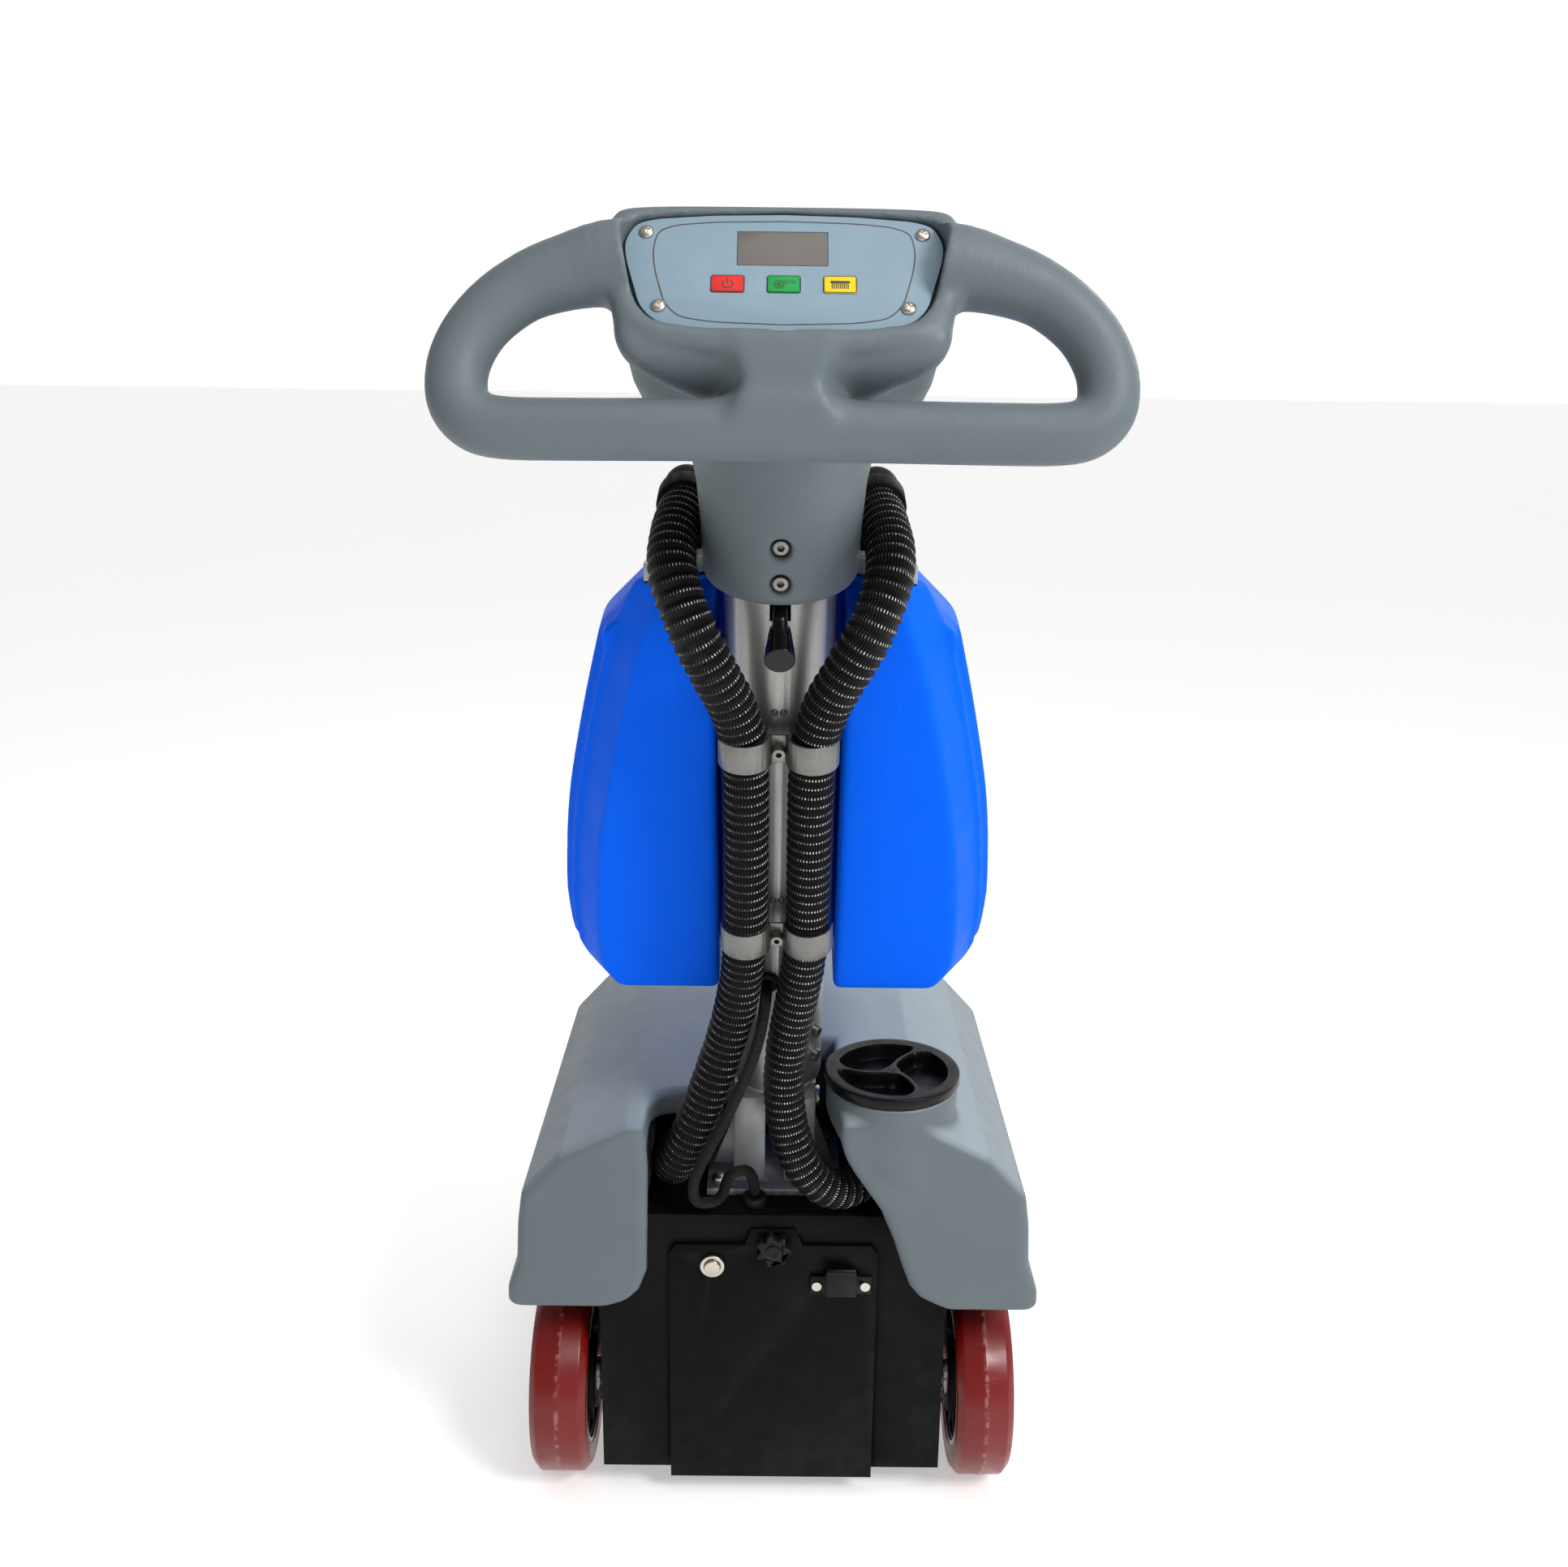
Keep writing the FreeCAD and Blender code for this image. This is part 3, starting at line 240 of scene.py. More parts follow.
def braided(name, strands, ribs, shine):
    """A black braided sleeve: axial strands that fade into the rib grooves as painted shade, and painted glints
    (pale flecks standing in for specular highlights) on the crests of the side facing the light, from U along
    and V around.
    """
    look = Finish(name, "#050505", 0.42, Specular_IOR_Level=0.14)
    mapped = look.split(look.add("ShaderNodeTexCoord")["UV"])
    turns = look.times(mapped["Y"], strands)
    teeth = look.times(mapped["X"], ribs)
    strand = look.math("COSINE", look.times(turns, math.tau))
    tooth = look.math("COSINE", look.times(teeth, math.tau))
    cell = {axis: look.math("FLOOR", look.math("ADD", value, 0.5))
            for axis, value in (("X", teeth), ("Y", turns))}
    corner = look.add("ShaderNodeCombineXYZ", cell)["Vector"]
    chance = look.add("ShaderNodeTexWhiteNoise", {"Vector": corner}, noise_dimensions="2D")["Value"]
    # painted glints: a band of the sleeve's angle turned towards the light, and a weaker band near the far
    # edge, set where the pale flecks fall
    painted_glint_side = look.range(look.away(mapped["Y"], 0.66), 0.15, 0.05, 0.1, 1.0)
    edge = look.range(look.away(mapped["Y"], 0.93), 0.05, 0.02, 0.0, 0.5)
    painted_glint_amount = look.times(look.math("MAXIMUM", painted_glint_side, edge), look.range(chance, 0, 1, 0.15, 1.1))
    painted_glint_spot = look.times(look.range(tooth, 0.72, 0.95), look.range(strand, 0.35, 0.85))
    # the strands fade towards the rib grooves: painted shade in the grooves
    threads = look.times(look.range(strand, -0.5, 1.0), look.range(tooth, -0.9, 0.6, 0.15, 1.0))
    look.tint(threads, "#1e1e1f", 0.85)
    # painted highlight: pale flecks on the rib crests stand in for specular glints; shine sets their strength
    look.tint(look.times(painted_glint_spot, painted_glint_amount, shine), "#e2e2df", 0.95)
    look.bump(strand, 0.3)
    return look.material


def cast_metal():
    """Grey painted casting, worn bright at its edges."""
    look = Finish("cast_bracket_paint", "#9a9c9e", 0.42, metal=0.55)
    look.tint(look.patches(30, 4, 0.45, 0.75), "#77797b", 0.5)
    look.worn("#c7c9ca", strength=0.6)
    look.bump(look.noise(420, 3), 0.12)
    return look.gloss(look.noise(50, 3), 0.34, 0.56).material


def lid_plastic():
    """Milky translucent lid plastic."""
    look = Finish("lid_translucent", "#b9c2c6", 0.22, Transmission_Weight=0.35, IOR=1.49)
    look.tint(look.patches(12, 3, 0.45, 0.8), "#98a1a6", 0.4)
    look.bump(look.noise(300, 2), 0.05)
    return look.gloss(look.noise(30, 3), 0.16, 0.34).material


def glass():
    """The smoked display window."""
    look = Finish("window_glass", "#5c5650", 0.3, Coat_Weight=0.15, Coat_Roughness=0.2,
                  Specular_IOR_Level=0.3)
    look.tint(look.patches(28, 3, 0.4, 0.8), "#4f4a45", 0.5)
    look.bump(look.noise(700, 1), 0.01)
    return look.gloss(look.noise(20, 2), 0.24, 0.34).material


def circuit():
    """Green board laminate with coppery dots."""
    look = Finish("board_laminate", "#14532f", 0.35)
    look.tint(look.range(look.cells(260), 0.0, 0.25, 1.0, 0.0), "#b08d3c", 0.8)
    look.bump(look.cells(260), 0.2)
    return look.material


def hairy():
    """Blue nylon with fine lengthwise strands."""
    look = Finish("bristle_nylon", "#1b2c57", 0.5)
    strand = look.noise(60, 4, 0.7, look.stretched((14, 14, 0.6)))
    look.tint(look.range(strand, 0.4, 0.7), "#5f7bb5", 0.6)
    look.bump(strand, 0.8)
    return look.material


MAKERS = {
    "grey_plastic": lambda: moulded("grey_polyethylene", "#616b70", "#545d62", "#7b858b", 0.5, 420,
                                    0.2, 0.3),
    "blue_plastic": lambda: moulded("blue_polyethylene", "#0060f2", "#0058e2", "#0e6cff", 0.5, 330,
                                    0.2, 0.05),
    "clear_plastic": lid_plastic,
    "stainless": lambda: brushed("brushed_stainless", "#aeadaa", 0.42, 2),
    "clip_steel": lambda: brushed("clip_steel", "#83827f", 0.42, 0, "#4c4b49"),
    "screw_steel": lambda: brushed("screw_nickel", "#cfc8bc", 0.25, 0, "#8d877c"),
    "socket_steel": lambda: brushed("socket_screw_steel", "#8d8a86", 0.34, 0, "#3e3c39"),
    "cast_bracket": cast_metal,
    "red_tyre": polyurethane,
    "hose": lambda: braided("hose_braid", 78, 81, 0.42),
    "window": glass,
    "board": circuit,
    "bristle": hairy,
}
SATIN = {
    "black_plastic": ("black_gloss_plastic", "#050506", "#111112", 0.36, 700, 0.015, 0.2),
    "black_matte_plastic": ("black_matte_plastic", "#0e0e0f", "#222224", 0.48, 800, 0.05, 0.25),
    "black_powder_coat": ("black_powder_coat", "#070708", "#121314", 0.52, 1300, 0.07, 0.1),
    "black_rubber": ("black_rubber", "#0d0d0d", "#1e1e1e", 0.6, 500, 0.05, 0.25),
    "cuff_rubber": ("cuff_rubber", "#040404", "#0b0b0c", 0.6, 500, 0.03, 0.1),
    "elbow_rubber": ("elbow_rubber", "#040404", "#0b0b0c", 0.55, 500, 0.03, 0.1),
    "lever_gloss": ("lever_gloss", "#050506", "#0e0e0f", 0.2, 700, 0.01, 0.3),
    "panel": ("panel_film", "#7d92a0", "#8b9fac", 0.45, 1100, 0.02, 0.2),
    "stripe_ink": ("stripe_ink", "#2b2422", "#4a423f", 0.4, 900, 0.01),
    "symbol_ink": ("symbol_ink", "#1c1a19", "#3a3735", 0.4, 900, 0.01),
    "red_button": ("button_red", "#c81f1a", "#dd3a32", 0.4, 900, 0.02, 0.2),
    "green_button": ("button_green", "#13913f", "#2aa558", 0.4, 900, 0.02, 0.2),
    "yellow_button": ("button_yellow", "#e6bf10", "#efcf30", 0.4, 900, 0.02, 0.2),
    "battery": ("battery_case", "#2a2d31", "#4a4e54", 0.5, 500, 0.08),
    "blade_rubber": ("blade_rubber", "#8a3b2a", "#a85a48", 0.55, 600, 0.04),
}
OWN_LOOK = {"hose_clips": "clip_steel", "hose_cuffs": "cuff_rubber", "lid_elbows": "elbow_rubber"}
MADE = {}


def finish_for(slot):
    """The material of a slot or look, made once."""
    if slot not in MADE:
        MADE[slot] = MAKERS[slot]() if slot in MAKERS else satin(*SATIN[slot])
    return MADE[slot]


# ---- mesh helpers
def build(name, points, faces, place=WORLD, sharp=35):
    """A mesh object from points in millimetres in a frame, shaded smooth up to an angle."""
    data = bpy.data.meshes.new(name)
    data.from_pydata([tuple(place @ (Vector(p) * MM)) for p in points], [], faces)
    data.validate()
    return shown(name, data, sharp)


def put(name, data):
    thing = bpy.data.objects.new(name, data)
    scene.collection.objects.link(thing)
    return thing


def ring_quads(rings, around):
    """Faces that join each ring of points to the next one."""
    faces = []
    for ring in range(rings - 1):
        for step in range(around):
            a, b = ring * around + step, ring * around + (step + 1) % around
            faces.append([a, b, b + around, a + around])
    return faces


def shown(name, data, sharp=35):
    data.polygons.foreach_set("use_smooth", [True] * len(data.polygons))
    if sharp:
        data.set_sharp_from_angle(angle=math.radians(sharp))
    data.update()
    return put(name, data)


def baked(thing, sharp=35):
    """The object with its modifiers applied."""
    bpy.context.view_layer.update()
    graph = bpy.context.evaluated_depsgraph_get()
    data = bpy.data.meshes.new_from_object(thing.evaluated_get(graph))
    name = thing.name
    bpy.data.objects.remove(thing)
    return shown(name, data, sharp)


def mount(thing, body, slot, *stands_for, look=None):
    """Give a piece its finish, taken from its slot unless a look is given, and its body, and hide the nodes
    that it stands for.
    """
    thing.data.materials.clear()
    thing.data.materials.append(look or finish_for(slot))
    if body:
        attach(thing, body)
    if stands_for:
        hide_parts(*stands_for)
    return thing


def merged(name, *things):
    """Several pieces as one object, each keeping its material."""
    bm = bmesh.new()
    materials = []
    for thing in things:
        start = len(bm.faces)
        bm.from_mesh(thing.data)
        bm.faces.ensure_lookup_table()
        offset = len(materials)
        materials.extend(thing.data.materials)
        for face in bm.faces[start:]:
            face.material_index += offset
    data = bpy.data.meshes.new(name)
    bm.to_mesh(data)
    bm.free()
    for material in materials:
        data.materials.append(material)
    for thing in things:
        bpy.data.objects.remove(thing)
    return put(name, data)


def rounded(node, width):
    """A copy of a CAD node with its edges broken by a small round."""
    bm = bmesh.new()
    bm.from_mesh(NODES[node].data)
    bmesh.ops.remove_doubles(bm, verts=bm.verts, dist=2e-5)
    bmesh.ops.dissolve_limit(bm, angle_limit=math.radians(1.5), verts=bm.verts, edges=bm.edges)
    points = [tuple(v.co / MM) for v in bm.verts]
    bm.verts.index_update()
    faces = [[v.index for v in face.verts] for face in bm.faces]
    bm.free()
    thing = build(node + "_made", points, faces)
    bevel = thing.modifiers.new("round", "BEVEL")
    bevel.width = width * MM
    bevel.segments = 3
    bevel.limit_method = "ANGLE"
    bevel.angle_limit = math.radians(30)
    bevel.use_clamp_overlap = True
    bevel.harden_normals = True
    return baked(thing, 40)


def polar(radius, angle, centre=(0, 0)):
    return centre[0] + radius * math.cos(angle), centre[1] + radius * math.sin(angle)


def lathed(name, profile, place, steps=96, sharp=28):
    """A surface turned about local Z from (radius, height) points; closed where the radius is zero."""
    points, faces, rings = [], [], []
    for radius, height in profile:
        if radius < 1e-6:
            rings.append([len(points)])
            points.append((0, 0, height))
            continue
        rings.append(list(range(len(points), len(points) + steps)))
        for step in range(steps):
            points.append((*polar(radius, math.tau * step / steps), height))
    for low, high in zip(rings, rings[1:]):
        for step in range(steps):
            after = (step + 1) % steps
            corners = [ring[index % len(ring)] for ring, index in
                       ((low, step), (low, after), (high, after), (high, step))]
            face = list(dict.fromkeys(corners))
            if len(face) > 2:
                faces.append(face)
    return build(name, points, faces, place, sharp)


def soft_corner(points, radius, steps=4):
    """An open outline of (a, b) points with each inner corner turned into an arc-like curve."""
    out = [points[0]]
    for before, corner, after in zip(points, points[1:], points[2:]):
        p, c, n = Vector(before), Vector(corner), Vector(after)
        reach = min(radius, 0.45 * (p - c).length, 0.45 * (n - c).length)
        start, end = c + (p - c).normalized() * reach, c + (n - c).normalized() * reach
        for step in range(steps + 1):
            t = step / steps
            out.append(tuple((1 - t) ** 2 * start + 2 * t * (1 - t) * c + t * t * end))
    out.append(points[-1])
    return out


def inward(outline, width):
    """A closed anticlockwise outline moved in by a width."""
    out = []
    for index, p in enumerate(outline):
        before, after = Vector(outline[index - 1]), Vector(outline[(index + 1) % len(outline)])
        side = (after - before).normalized()
        out.append((p[0] - side.y * width, p[1] + side.x * width))
    return out


def prism(name, outline, low, high, place, edge=0.6, steps=3):
    """A plate from a closed outline, with rounded rims."""
    angles = [QUARTER * step / steps for step in range(steps + 1)]
    levels = [(edge * (1 - math.sin(angle)), low + edge * (1 - math.cos(angle))) for angle in angles]
    levels += [(edge * (1 - math.cos(angle)), high - edge * (1 - math.sin(angle))) for angle in angles]
    points = [(*p, height) for inset, height in levels for p in inward(outline, inset)]
    count = len(outline)
    faces = ring_quads(len(levels), count)
    faces.append(list(range(count - 1, -1, -1)))
    faces.append(list(range(len(points) - count, len(points))))
    return build(name, points, faces, place, 40)


# ---- distance fields
def smooth_min(a, b, k):
    h = np.clip(0.5 + 0.5 * (b - a) / k, 0, 1)
    return b * (1 - h) + a * h - k * h * (1 - h)


def smooth_max(a, b, k):
    return -smooth_min(-a, -b, k)


def lattice(low, high, step):
    axes = [np.arange(a, b + step, step, dtype=np.float32) for a, b in zip(low, high)]
    return np.meshgrid(*axes, indexing="ij")


def trimmed(field, *limits):
    """A field cut down by others, each given with its blend width."""
    for limit, k in limits:
        field = smooth_max(field, limit, k)
    return field


def edge_field(a, b, starts, ends, k):
    """A field of two coordinates, negative to the left of every edge."""
    sides = []
    for (a0, b0), (a1, b1) in zip(starts, ends):
        length = math.hypot(a1 - a0, b1 - b0)
        sides.append((b1 - b0) / length * (a - a0) - (a1 - a0) / length * (b - b0))
    return trimmed(sides[0], *((side, k) for side in sides[1:]))


def convex(a, b, outline, k):
    """The field of a convex outline given anticlockwise."""
    return edge_field(a, b, outline, outline[1:] + outline[:1], k)


def half_field(x, u, half, k):
    """The field of a convex outline given by its right half, for x of zero and more."""
    return edge_field(x, u, half, half[1:], k)


def block_field(a, b, c, low, high, k):
    sides = [np.abs(value - (least + most) / 2) - (most - least) / 2
             for value, least, most in zip((a, b, c), low, high)]
    return trimmed(sides[0], (sides[1], k), (sides[2], k))


def tube_field(a, b, c, path, radii):
    """Distance to a path of points with a radius at each point."""
    field = None
    for p, q, r0, r1 in zip(path, path[1:], radii, radii[1:]):
        d = [q[i] - p[i] for i in range(3)]
        t = ((a - p[0]) * d[0] + (b - p[1]) * d[1] + (c - p[2]) * d[2]) / sum(x * x for x in d)
        t = np.clip(t, 0, 1)
        away = np.sqrt((a - p[0] - t * d[0]) ** 2 + (b - p[1] - t * d[1]) ** 2 + (c - p[2] - t * d[2]) ** 2)
        away = away - (r0 + t * (r1 - r0))
        field = away if field is None else np.minimum(field, away)
    return field


def surfaced(name, field, low, step, place=WORLD):
    """The zero surface of a field as a quad mesh."""
    grid = openvdb.FloatGrid(3 * step)
    grid.copyFromArray(np.ascontiguousarray(np.clip(field, -3 * step, 3 * step), np.float32))
    points, quads = grid.convertToQuads(0.0)
    points = points * step + np.array(low)
    thing = build(name, [tuple(map(float, p)) for p in points], [tuple(map(int, q)) for q in quads[:, ::-1]],
                  place, None)
    bm = bmesh.new()
    bm.from_mesh(thing.data)
    if bm.calc_volume(signed=True) < 0:
        bmesh.ops.reverse_faces(bm, faces=bm.faces)
    bm.to_mesh(thing.data)
    bm.free()
    return thing


def surfaced_both(name, field, low, step, place=WORLD):
    """The same for a field given by its right half, which is mirrored."""
    reach = (field.shape[0] - 1) * step
    return surfaced(name, np.concatenate([field[:0:-1], field]), (-reach, low[1], low[2]), step, place)


def eased(thing, rounds):
    """A few rounds of smoothing, which takes the voxel ripple off a surfaced field."""
    smooth = thing.modifiers.new("ease", "SMOOTH")
    smooth.factor, smooth.iterations = 0.5, rounds
    return baked(thing, None)


def through(points, per):
    """Points along a smooth line through the given ones (Catmull-Rom)."""
    padded = [points[0]] + list(points) + [points[-1]]
    out = []
    for p0, p1, p2, p3 in zip(padded, padded[1:], padded[2:], padded[3:]):
        a, b, c, d = map(np.array, (p0, p1, p2, p3))
        for t in np.linspace(0, 1, per, endpoint=False):
            out.append(0.5 * (2 * b + (c - a) * t + (2 * a - 5 * b + 4 * c - d) * t * t
                              + (3 * b - a - 3 * c + d) * t ** 3))
    return out + [np.array(points[-1], float)]


# ---- head, panel and controls
LEAN_SIN, LEAN_COS = math.sin(LEAN), math.cos(LEAN)
PANEL_SIN, PANEL_COS = math.sin(PANEL_TILT), math.cos(PANEL_TILT)
PLATE_HALF = [(0, -42), (45, -40.2), (70, -35.2), (79, -25), (88, 8), (89, 20), (83, 32), (72, 35.4),
              (40, 38.2), (0, 39.2)]
STRIPE_HALF = [(0, -37), (40, -35.6), (58, -32.2), (66, -23), (72, 0), (73.5, 14), (71, 27), (61, 31.4),
               (40, 33.8), (0, 34.8)]


def both_sides(half, radius):
    """A closed anticlockwise outline from its right half, with rounded corners."""
    right = soft_corner(half, radius)
    return right + [(-x, y) for x, y in reversed(right[1:-1])]


def head_housing():
    """One-piece rotomoulded head: neck, throat, console with its rim, two hand loops and the web between."""
    step = 1.75
    low, high = (0, -402, 786), (224, -150, 1046)
    x, y, z = lattice(low, high, step)
    forward = (y - PIN_Y) * LEAN_COS + (z - PIN_Z) * LEAN_SIN
    along = -(y - PIN_Y) * LEAN_SIN + (z - PIN_Z) * LEAN_COS
    up = (y - PANEL_Y) * PANEL_COS + (z - PANEL_Z) * PANEL_SIN
    out = -(y - PANEL_Y) * PANEL_SIN + (z - PANEL_Z) * PANEL_COS
    profile = [(-376, 955), (-354, 930), (-305, 903), (-262, 893), (-206, 905), (-212, 955), (-262, 1006),
               (-294, 1032), (-315, 1034.5), (-377, 962)]
    half = np.interp(z, [900, 930, 948, 962, 985, 1000, 1035], [74, 82, 87.5, 92.5, 95.5, 97, 99])
    console = trimmed(convex(y, z, profile, 9), (x - half, 12), (0.43 * x - 0.9 * (z - 906), 8))
    wide = np.interp(along, [480, 530, 560, 574, 590, 600, 612, 624, 636, 660],
                     [51.5, 53.2, 55.4, 58, 66, 76, 87.5, 93, 95.5, 96])
    deep = np.interp(along, [480, 600, 660], [51.5, 57, 60])
    throat = (np.sqrt((x / wide) ** 2 + (forward / deep) ** 2) - 1) * 55
    throat = trimmed(throat, (490 - along, 9), (along - 655, 9))
    loop = through([(30, 90), (88, 93), (118, 88), (145, 77.5), (167, 59), (179, 37), (180, 16), (171, 3.5),
                    (155, -1), (120, -1.5), (60, -1), (0, -1)], 4)
    radii = np.interp(np.arange(len(loop)), [0, 4, 8, 12, 16, 47], [27, 24, 20.5, 18, 17.2, 17])
    path = [tuple(HANDLE @ Vector((p[0] * MM, p[1] * MM, 0)) / MM) for p in loop]
    grips = tube_field(x, y, z, path, radii)
    web = convex(y, z, [(-366, 914), (-330, 900), (-320, 950), (-368, 962), (-378, 950), (-380, 928)], 6)
    web = smooth_max(web, x - 18, 6)
    field = smooth_min(console, throat, 4)
    field = smooth_min(field, grips, 9)
    field = smooth_min(field, web, np.interp(z, [903, 932], [5, 28]))
    plate = half_field(x, up, PLATE_HALF, 5)
    rim = np.sqrt((plate - 6.8) ** 2 + (out + np.interp(up, [-42, -25], [2.6, 5])) ** 2) - 6.6
    field = smooth_min(field, rim, np.interp(up, [-44, -30], [2.5, 5]))
    bore = np.maximum(np.sqrt(x ** 2 + forward ** 2) - 38.6, along - 508)
    field = trimmed(field, (z - 1034.5, 5), (-np.maximum(plate - 2.4, -8 - out), 1.0), (-bore, 1.5))
    for screw in NECK_SCREWS:
        seat = np.maximum(np.sqrt(x ** 2 + (along - screw) ** 2) - 7, forward + 45)
        field = smooth_max(field, -seat, 3)
    head = surfaced_both("head_housing_shell", field, low, step)
    return mount(eased(head, 3), "column", "grey_plastic", "head_housing")


def ribbon(name, outline, width, low, high, place):
    """A thin raised line along a closed outline."""
    count = len(outline)
    points, faces = [], []
    for p, inner in zip(outline, inward(outline, width)):
        points += [(*p, low), (*p, high), (*inner, high), (*inner, low)]
    for index in range(count):
        a, b = index * 4, (index + 1) % count * 4
        faces += [[a + j, b + j, b + j + 1, a + j + 1] for j in range(3)]
    return build(name, points, faces, place, 50)


def carved(thing, *cutters):
    """The piece less its cutters, which are then removed."""
    for cutter in cutters:
        take = thing.modifiers.new("take", "BOOLEAN")
        take.operation, take.object, take.solver = "DIFFERENCE", cutter, "EXACT"
    done = baked(thing, 35)
    for cutter in cutters:
        bpy.data.objects.remove(cutter)
    return done


def plate_of(half_x, half_y, radius, centre=(0, 0)):
    """A rounded rectangle's outline, anticlockwise."""
    out = []
    for index, (sx, sy) in enumerate(((1, -1), (1, 1), (-1, 1), (-1, -1))):
        for step in range(6):
            corner = (centre[0] + sx * (half_x - radius), centre[1] + sy * (half_y - radius))
            out.append(polar(radius, QUARTER * (index - 1 + step / 5), corner))
    return out


def screw_head(name, radius, height, recess, place):
    """A domed or cylindrical screw head with a cross or hexagon recess."""
    if recess == "cross":
        profile = [(radius, 0), (radius, height * 0.25)]
        profile += [(radius * math.cos(t * math.pi / 16), height * (0.25 + 0.75 * math.sin(t * math.pi / 16)))
                    for t in range(1, 8)] + [(0, height)]
        head = lathed(name, [(0, 0)] + profile, place, 48, 50)
        bars = [prism(name + "_bar", plate_of(a, b, 0.25), height * 0.45, height + 2, place, 0.05)
                for a, b in ((radius * 0.52, radius * 0.12), (radius * 0.12, radius * 0.52))]
        return carved(head, *bars)
    edge = radius * 0.14
    profile = [(0, 0), (radius, 0), (radius, height - edge), (radius - edge * 0.3, height - edge * 0.3),
               (radius - edge, height), (0, height)]
    head = lathed(name, profile, place, 48, 25)
    key = [polar(radius * 0.52, t * math.pi / 3) for t in range(6)]
    return carved(head, prism(name + "_key", key, height * 0.3, height + 2, place, 0.05))


def control_panel():
    """Plate, pin stripe, window, three push buttons with generic symbols, and four screws."""
    face, button_u, window_at = -1.5, -9.4, (-1, 15.4)
    mark_low, mark_high = -0.8, -0.68

    def line(outline, width):
        return ribbon("line", outline, width, mark_low, mark_high, PANEL)

    def mark(outline):
        return prism("mark", outline, mark_low, mark_high, PANEL, 0.02)

    plate = prism("control_panel_plate", both_sides(PLATE_HALF, 7), -4, face, PANEL, 0.35)
    holes = [prism("cut", plate_of(9.4, 6.0, 1.4, (x, button_u)), -6, 1, PANEL, 0.05) for x in (-31, 0, 31)]
    holes.append(prism("cut", plate_of(25.6, 12, 0.8, window_at), -2.1, 1, PANEL, 0.05))
    mount(carved(plate, *holes), "column", "panel", "control_panel")
    stripe = ribbon("panel_stripe", both_sides(STRIPE_HALF, 9), 0.8, face, -1.43, PANEL)
    mount(stripe, "column", "panel", look=finish_for("stripe_ink"))
    window = prism("display_window_glass", plate_of(25.2, 11.6, 0.6, window_at), -3.9, -1.7, PANEL, 0.3)
    mount(window, "column", "window", "display_window")
    for x, node, slot in ((-31, "stop_button", "red_button"), (0, "vacuum_button", "green_button"),
                          (31, "brush_button", "yellow_button")):
        centre = (x, button_u)
        key = prism(node + "_cap", plate_of(9.1, 5.7, 1.3, centre), -4.4, -0.75, PANEL, 0.3)
        mount(key, node, slot, node)
        lines = [line(plate_of(9.0, 5.6, 1.25, centre), 0.4)]
        if node == "stop_button":
            arc = [(x + 3.3 * math.sin(t), -10 + 3 * math.cos(t)) for t in np.linspace(0.65, 5.63, 22)]
            back = [(x + 2.5 * math.sin(t), -10 + 2.2 * math.cos(t)) for t in np.linspace(5.63, 0.65, 22)]
            lines += [mark((arc + back)[::-1]), mark(plate_of(0.45, 1.9, 0.1, (x, -7.8)))]
        elif node == "vacuum_button":
            fan = (x - 2.6, -9.9)
            for reach, width in ((3.0, 0.5), (1.9, 0.4)):
                ring = [(fan[0] + reach * math.cos(t * math.pi / 12),
                         fan[1] + reach * 0.95 * math.sin(t * math.pi / 12)) for t in range(24)]
                lines.append(line(ring, width))
            duct = [(x + 0.2, -7.2), (x + 6.6, -7.2), (x + 6.6, -8.9), (x + 0.2, -8.9)]
            lines += [mark(plate_of(0.8, 0.8, 0.7, fan)), line(duct[::-1], 0.4)]
        else:
            lines.append(mark(plate_of(5.4, 0.8, 0.2, (x, -7.9))))
            lines += [mark(plate_of(0.32, 1.9, 0.1, (x + k * 1.1, -10.6))) for k in range(-4, 5)]
        mount(merged(node + "_symbol", *lines), node, slot, look=finish_for("symbol_ink"))
    screws = [screw_head("head", 4.2, 2.4, "cross", PANEL @ at(x, u, face, turn, "Z"))
              for x, u, turn in ((-77, 25.6, 0.3), (77.5, 25.6, 1.1), (-68.5, -25, 0.6), (68.5, -25, 0.1))]
    mount(merged("panel_screw_heads", *screws), "column", "screw_steel", "panel_screws")


# ---- tanks
def recovery_tank():
    """Two-layer blue tank with chamfered rear edges, a groove for the tube and an open top."""
    step = 2.0
    low, high = (0, -22, 122), (176, 192, 516)
    x, f, s = lattice(low, high, step)
    z = PIN_Z + f * LEAN_SIN + s * LEAN_COS
    rear = half_field(x, s, [(146, 128), (158, 146), (161, 190), (155, 272), (143, 340), (119, 440),
                             (106, 473), (89, 508)], 4)
    front = half_field(x, s, [(146, 128), (165, 150), (169, 190), (163, 272), (151, 340), (127, 438),
                              (112, 446)], 4)
    chamfer = 0.855 * (rear + 22) - 0.518 * (f + 15)
    rear = trimmed(rear, (-15 - f, 3), (chamfer, 3.5), (133 - s, 5), (f - 27, 7))
    front = front + np.interp(f, [28, 32, 35], [7, 4, 0]) * np.interp(s, [420, 445], [1, 0])
    front = trimmed(front, (15 - f, 3), (132 - s, 6), (f - 185, 12))
    shoulder = ((x - 92) + (z - 806)) * 0.707 - np.where(f < 20, 5, 0)
    groove = np.maximum(x - 45, f - 46)
    around_neck = 60 - np.maximum(np.sqrt(x ** 2 + f ** 2), 60 - (s - 462))
    body = trimmed(smooth_min(rear, front, 1.5), (0.85 * (f - 172) - 0.53 * (s - 152), 10), (shoulder, 5),
                   (-groove, 6), (around_neck, 3))
    shell = trimmed(body, (z - np.interp(f, [-13, -11], [817, 806]), 2), (-(body + 4.2), 1.5))
    tank = surfaced_both("recovery_tank_shell", shell, low, step, COLUMN)
    return mount(eased(tank, 2), "recovery_tank", "blue_plastic", "recovery_tank")


